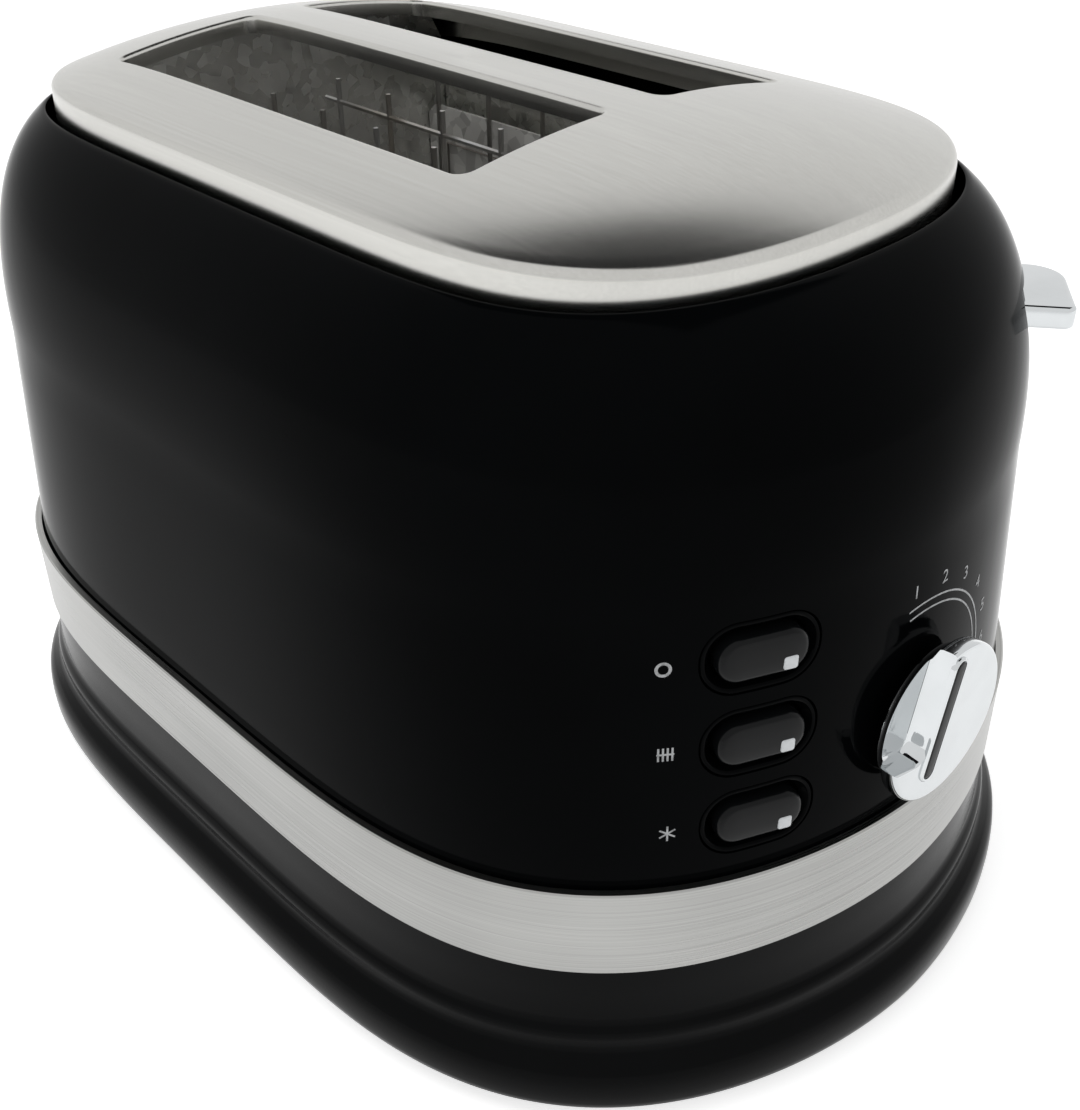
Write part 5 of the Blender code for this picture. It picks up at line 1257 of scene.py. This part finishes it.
@dataclass
class Signs:
    """Printed scale round the dial and a sign beside each key, laid on the shell."""

    form: BodyForm
    proud: float = 0.00006
    sign_x: float = -0.0585
    half_line: float = 0.0002
    scale_radii: tuple[float, ...] = (0.0232, 0.0252)
    scale_degrees: tuple[float, float] = (102.0, 6.0)
    number_degrees: tuple[float, float] = (97.0, 2.0)
    number_radius: float = 0.0288
    number_height: float = 0.0030
    numbers: str = "123456"
    ring_radii: tuple[float, float] = (0.0010, 0.0016)
    grid_bars: int = 4
    grid_pitch: float = 0.0009
    grid_half: float = 0.0015
    cross_half: float = 0.0017
    star_reach: float = 0.0018

    def build(self, shop: Workshop, keys: KeyBank, dial: Dial) -> None:
        """Adds the scale and the signs as thin layers of ink."""
        centre = self.form.control_frame(-dial.side, dial.height)
        layers = [self.ink(centre, self.arc(radius)) for radius in self.scale_radii]
        for number, angle in zip(self.numbers, np.linspace(*self.number_degrees, len(self.numbers))):
            at = np.array([math.cos(math.radians(angle)), math.sin(math.radians(angle))])
            layers.append(self.ink(centre, self.figure(number) + self.number_radius * at))
        for (_, place, _), sign in zip(keys.places(), (self.ring(), self.grid(), self.star())):
            spot = self.form.control_frame(self.sign_x, place.translation.z)
            layers += [self.ink(spot, flat) for flat in sign]
        shop.add("printed_signs", joined(*layers), Print(), "body", "clear_lens", sharp=None)

    def figure(self, number: str) -> Points:
        """Triangles of a figure, as (count, 3, 2) points centred on the origin."""
        curve = bpy.data.curves.new("figure", "FONT")
        curve.body = number
        curve.size = self.number_height * 1.4
        curve.align_x = curve.align_y = "CENTER"
        curve.resolution_u = 4
        mesh = evaluated(linked("figure", curve))
        mesh.calc_loop_triangles()
        points = np.array([vertex.co[:2] for vertex in mesh.vertices])
        triangles = np.array([triangle.vertices[:] for triangle in mesh.loop_triangles])
        bpy.data.meshes.remove(mesh)
        bpy.data.curves.remove(curve)
        return points[triangles]

    def ink(self, place: Matrix, triangles: Points) -> bpy.types.Mesh:
        """Lays flat triangles on the shell."""
        world = self.form.wrap(place, triangles.reshape(-1, 2), self.proud)
        mesh = bpy.data.meshes.new("ink")
        mesh.from_pydata(world, [], np.arange(len(world)).reshape(-1, 3).tolist())
        return mesh

    def strip(self, inner: Points, outer: Points) -> Points:
        """Triangles of the band between two lines of equally many points."""
        one = np.stack([inner[:-1], outer[:-1], outer[1:]], axis=1)
        two = np.stack([inner[:-1], outer[1:], inner[1:]], axis=1)
        return np.concatenate([one, two])

    def arc(self, radius: float) -> Points:
        """One line of the scale: a thin arc above the dial."""
        way = circle(np.radians(np.linspace(*self.scale_degrees, 60)))
        return self.strip((radius - self.half_line) * way, (radius + self.half_line) * way)

    def ring(self) -> list[Points]:
        """A ring."""
        way = circle(np.linspace(0, 2 * np.pi, 40))
        return [self.strip(*(radius * way for radius in self.ring_radii))]

    def grid(self) -> list[Points]:
        """Four upright bars and one across."""
        half, bars = self.half_line, []
        for k in range(self.grid_bars):
            x = (k - (self.grid_bars - 1) / 2) * self.grid_pitch - half
            line = np.array([[x, -self.grid_half], [x, self.grid_half]])
            bars.append(self.strip(line, line + np.array([2 * half, 0.0])))
        line = np.array([[-self.cross_half, half], [self.cross_half, half]])
        return [*bars, self.strip(line, line - np.array([0.0, 2 * half]))]

    def star(self) -> list[Points]:
        """Three bars that cross as a star of six arms."""
        bars = []
        for k in range(3):
            angle = math.pi * k / 3 + math.pi / 2
            way = np.array([math.cos(angle), math.sin(angle)])
            side = np.array([-way[1], way[0]]) * self.half_line
            line = np.stack([-self.star_reach * way, self.star_reach * way])
            bars.append(self.strip(line - side, line + side))
        return bars


@dataclass
class Inside:
    """Finishes of the frame's own nodes, by slot: the works, the feet and the fasteners."""

    finishes: dict[str, Finish] = field(default_factory=lambda: {
        "zinc_plate": ZincPlate(),
        "spring_steel": DrawnWire(),
        "heating_alloy": DrawnWire("heating_wire_alloy", (0.24, 0.22, 0.20), (0.14, 0.12, 0.11), 0.42),
        "mica": Mica(),
        "circuit_board": Laminate(),
        "copper": Winding(),
        "cream_plastic": Moulded("cream_plastic", (0.62, 0.60, 0.52), 0.38),
        "black_plastic": Moulded("gloss_black_plastic", (0.0035, 0.0040, 0.0045), 0.16, grain_depth=0.000003),
        "rubber": Moulded("foot_rubber", (0.012, 0.012, 0.012), 0.62, 900.0, 0.00003),
        "gloss_black_paint": Enamel(),
        "brushed_steel": BrushedSteel(),
        "chrome": Chrome(),
        "black_inlay": INLAY,
        "clear_lens": Lens(),
    })

    def build(self, shop: Workshop) -> None:
        """Dresses every node that no piece stands for."""
        for entry in frame["record"]["subparts"]:
            if not frame["nodes"][entry["node"]].hide_render:
                shop.dress(entry["node"], self.finishes[entry["material_slot"]])


@dataclass
class Studio:
    """Pale floor, white surroundings, soft lamps, a dark card and the camera.

    A lamp is its name, place, size and power. The card is its turn and rise in degrees, its distance,
    its width and its height.
    """

    middle_y: float
    camera_place: Triple = (-0.2088, -0.2496, 0.2682)
    azimuth: float = -42.92
    elevation: float = 32.79
    roll: float = -0.605
    focal_pixels: float = 1402.73
    image_size: tuple[int, int] = (1080, 1110)
    image_centre: tuple[float, float] = (547.07, 547.75)
    floor_size: float = 80.0
    floor_colour: Colour = (0.86, 0.86, 0.86)
    floor_glow: float = 0.64
    sky_light: float = 0.45
    aim: Triple = (0, 0, 0.1)
    card_aim: Triple = (0, 0, 0.15)
    sensor_height: float = 36.0
    lamps: tuple[tuple[str, Triple, float, float], ...] = (
        ("top_softbox", (-0.3, 0.5, 1.9), 1.6, 11.0),
        ("left_softbox", (-1.9, 0.1, 1.0), 1.4, 7.0),
        ("front_softbox", (0.9, -1.9, 1.1), 1.3, 6.0),
    )
    card: tuple[float, ...] = (116.0, 73.0, 1.2, 1.50, 0.97)

    def build(self) -> None:
        """Sets up the whole studio."""
        self.build_floor()
        self.build_world()
        self.build_lamps()
        self.build_card()
        self.build_camera()
        bpy.context.scene.view_settings.view_transform = "Standard"

    def plane(self, name: str, width: float, height: float, material: bpy.types.Material) -> bpy.types.Object:
        """A level rectangle round the origin."""
        x, y = width / 2, height / 2
        mesh = bpy.data.meshes.new(name)
        mesh.from_pydata([(-x, -y, 0), (x, -y, 0), (x, y, 0), (-x, y, 0)], [], [(0, 1, 2, 3)])
        mesh.materials.append(material)
        return linked(name, mesh)

    def build_floor(self) -> None:
        """A wide plane at the height of the feet, white where it is seen and pale as a light."""
        sheet = NodeSheet(bpy.data.materials.new("studio_floor"))
        tone = sheet.blend(sheet.noise(sheet.place(), 60, 2.0), self.floor_colour,
                           tinted(self.floor_colour, 1.02))
        material = sheet.surface(Base_Color=tone, Roughness=0.9, Specular_IOR_Level=0.1,
                                 Emission_Color=(1.0, 1.0, 1.0),
                                 Emission_Strength=self.floor_glow * sheet.seen_directly())
        self.plane("studio_floor", self.floor_size, self.floor_size, material)

    def build_world(self) -> None:
        """White where the camera, a mirror or glass looks, and dimmer as a light."""
        sheet = NodeSheet(bpy.data.worlds.new("studio"))
        light, seen = (sheet.node("Background", {"Color": (1, 1, 1), "Strength": strength})
                       for strength in (self.sky_light, 1.0))
        mix = sheet.node("MixShader", {"Fac": sheet.seen_directly(), 1: light, 2: seen})
        bpy.context.scene.world = sheet.close(mix, "World")

    def build_lamps(self) -> None:
        """Large soft lamps over the lid, at the left and at the right front."""
        for name, place, size, watts in self.lamps:
            lamp = bpy.data.lights.new(name, "AREA")
            lamp.shape = "SQUARE"
            lamp.size = size
            lamp.energy = watts
            item = linked(name, lamp)
            item.location = place
            item.visible_glossy = False
            item.rotation_euler = (Vector(self.aim) - Vector(place)).to_track_quat("-Z", "Y").to_euler()

    def build_card(self) -> None:
        """A dark card that only mirrors see: the edge of a dim room round the white set."""
        sheet = NodeSheet(bpy.data.materials.new("dark_card"))
        tone = sheet.blend(sheet.noise(sheet.place(), 8, 2.0), (0.010, 0.010, 0.011), (0.016, 0.016, 0.017))
        material = sheet.surface(Base_Color=tone, Roughness=1.0, Specular_IOR_Level=0.0)
        turn, rise, distance, width, height = self.card
        way = direction(turn, rise)
        card = self.plane("lid_card", width, height, material)
        card.matrix_world = (Matrix.Translation(Vector(self.card_aim) + distance * way)
                             @ way.to_track_quat("Z", "Y").to_matrix().to_4x4())
        card.visible_camera = card.visible_diffuse = card.visible_shadow = False
        card.visible_transmission = False

    def build_camera(self) -> None:
        """The camera at the photograph's angle, solved from the toaster's outlines."""
        roll, back = math.radians(self.roll), direction(self.azimuth, self.elevation)
        level_way = (-back).cross(Vector((0, 0, 1))).normalized()
        high = level_way.cross(-back)
        right = level_way * math.cos(roll) + high * math.sin(roll)
        up = high * math.cos(roll) - level_way * math.sin(roll)
        camera = bpy.data.cameras.new("photo_camera")
        item = linked("photo_camera", camera)
        place = Vector(self.camera_place) + Vector((0, self.middle_y, 0))
        item.matrix_world = Matrix.Translation(place) @ Matrix((right, up, back)).transposed().to_4x4()
        width, height = self.image_size
        camera.sensor_fit = "VERTICAL"
        camera.sensor_height = self.sensor_height
        camera.lens = self.focal_pixels / height * self.sensor_height
        camera.shift_x = (width / 2 - self.image_centre[0]) / max(width, height)
        camera.shift_y = (self.image_centre[1] - height / 2) / max(width, height)
        camera.clip_start = 0.01
        bpy.context.scene.camera = item


def build_toaster() -> None:
    """Builds and dresses the toaster, piece by piece, and then its studio."""
    low, high = (np.array(corner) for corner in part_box("trim_band"))
    form = BodyForm(middle_y=float((low[1] + high[1]) / 2))
    shop = Workshop()
    keys, lever, dial, base = KeyBank(form), Lever(form), Dial(form), Base(form)
    OuterShell(form).build(shop, keys, lever, dial)
    Lid(form).build(shop)
    TrimBand(form).build(shop)
    base.build(shop)
    base.build_tray_front(shop, "tray_front", "tray")
    keys.build(shop)
    lever.build(shop)
    dial.build(shop)
    Signs(form).build(shop, keys, dial)
    Inside().build(shop)
    Studio(form.middle_y).build()


def main() -> None:
    """Builds the scene."""
    logging.basicConfig(level=logging.INFO, format="%(message)s")
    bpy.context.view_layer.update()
    build_toaster()


if __name__ == "__main__":
    main()
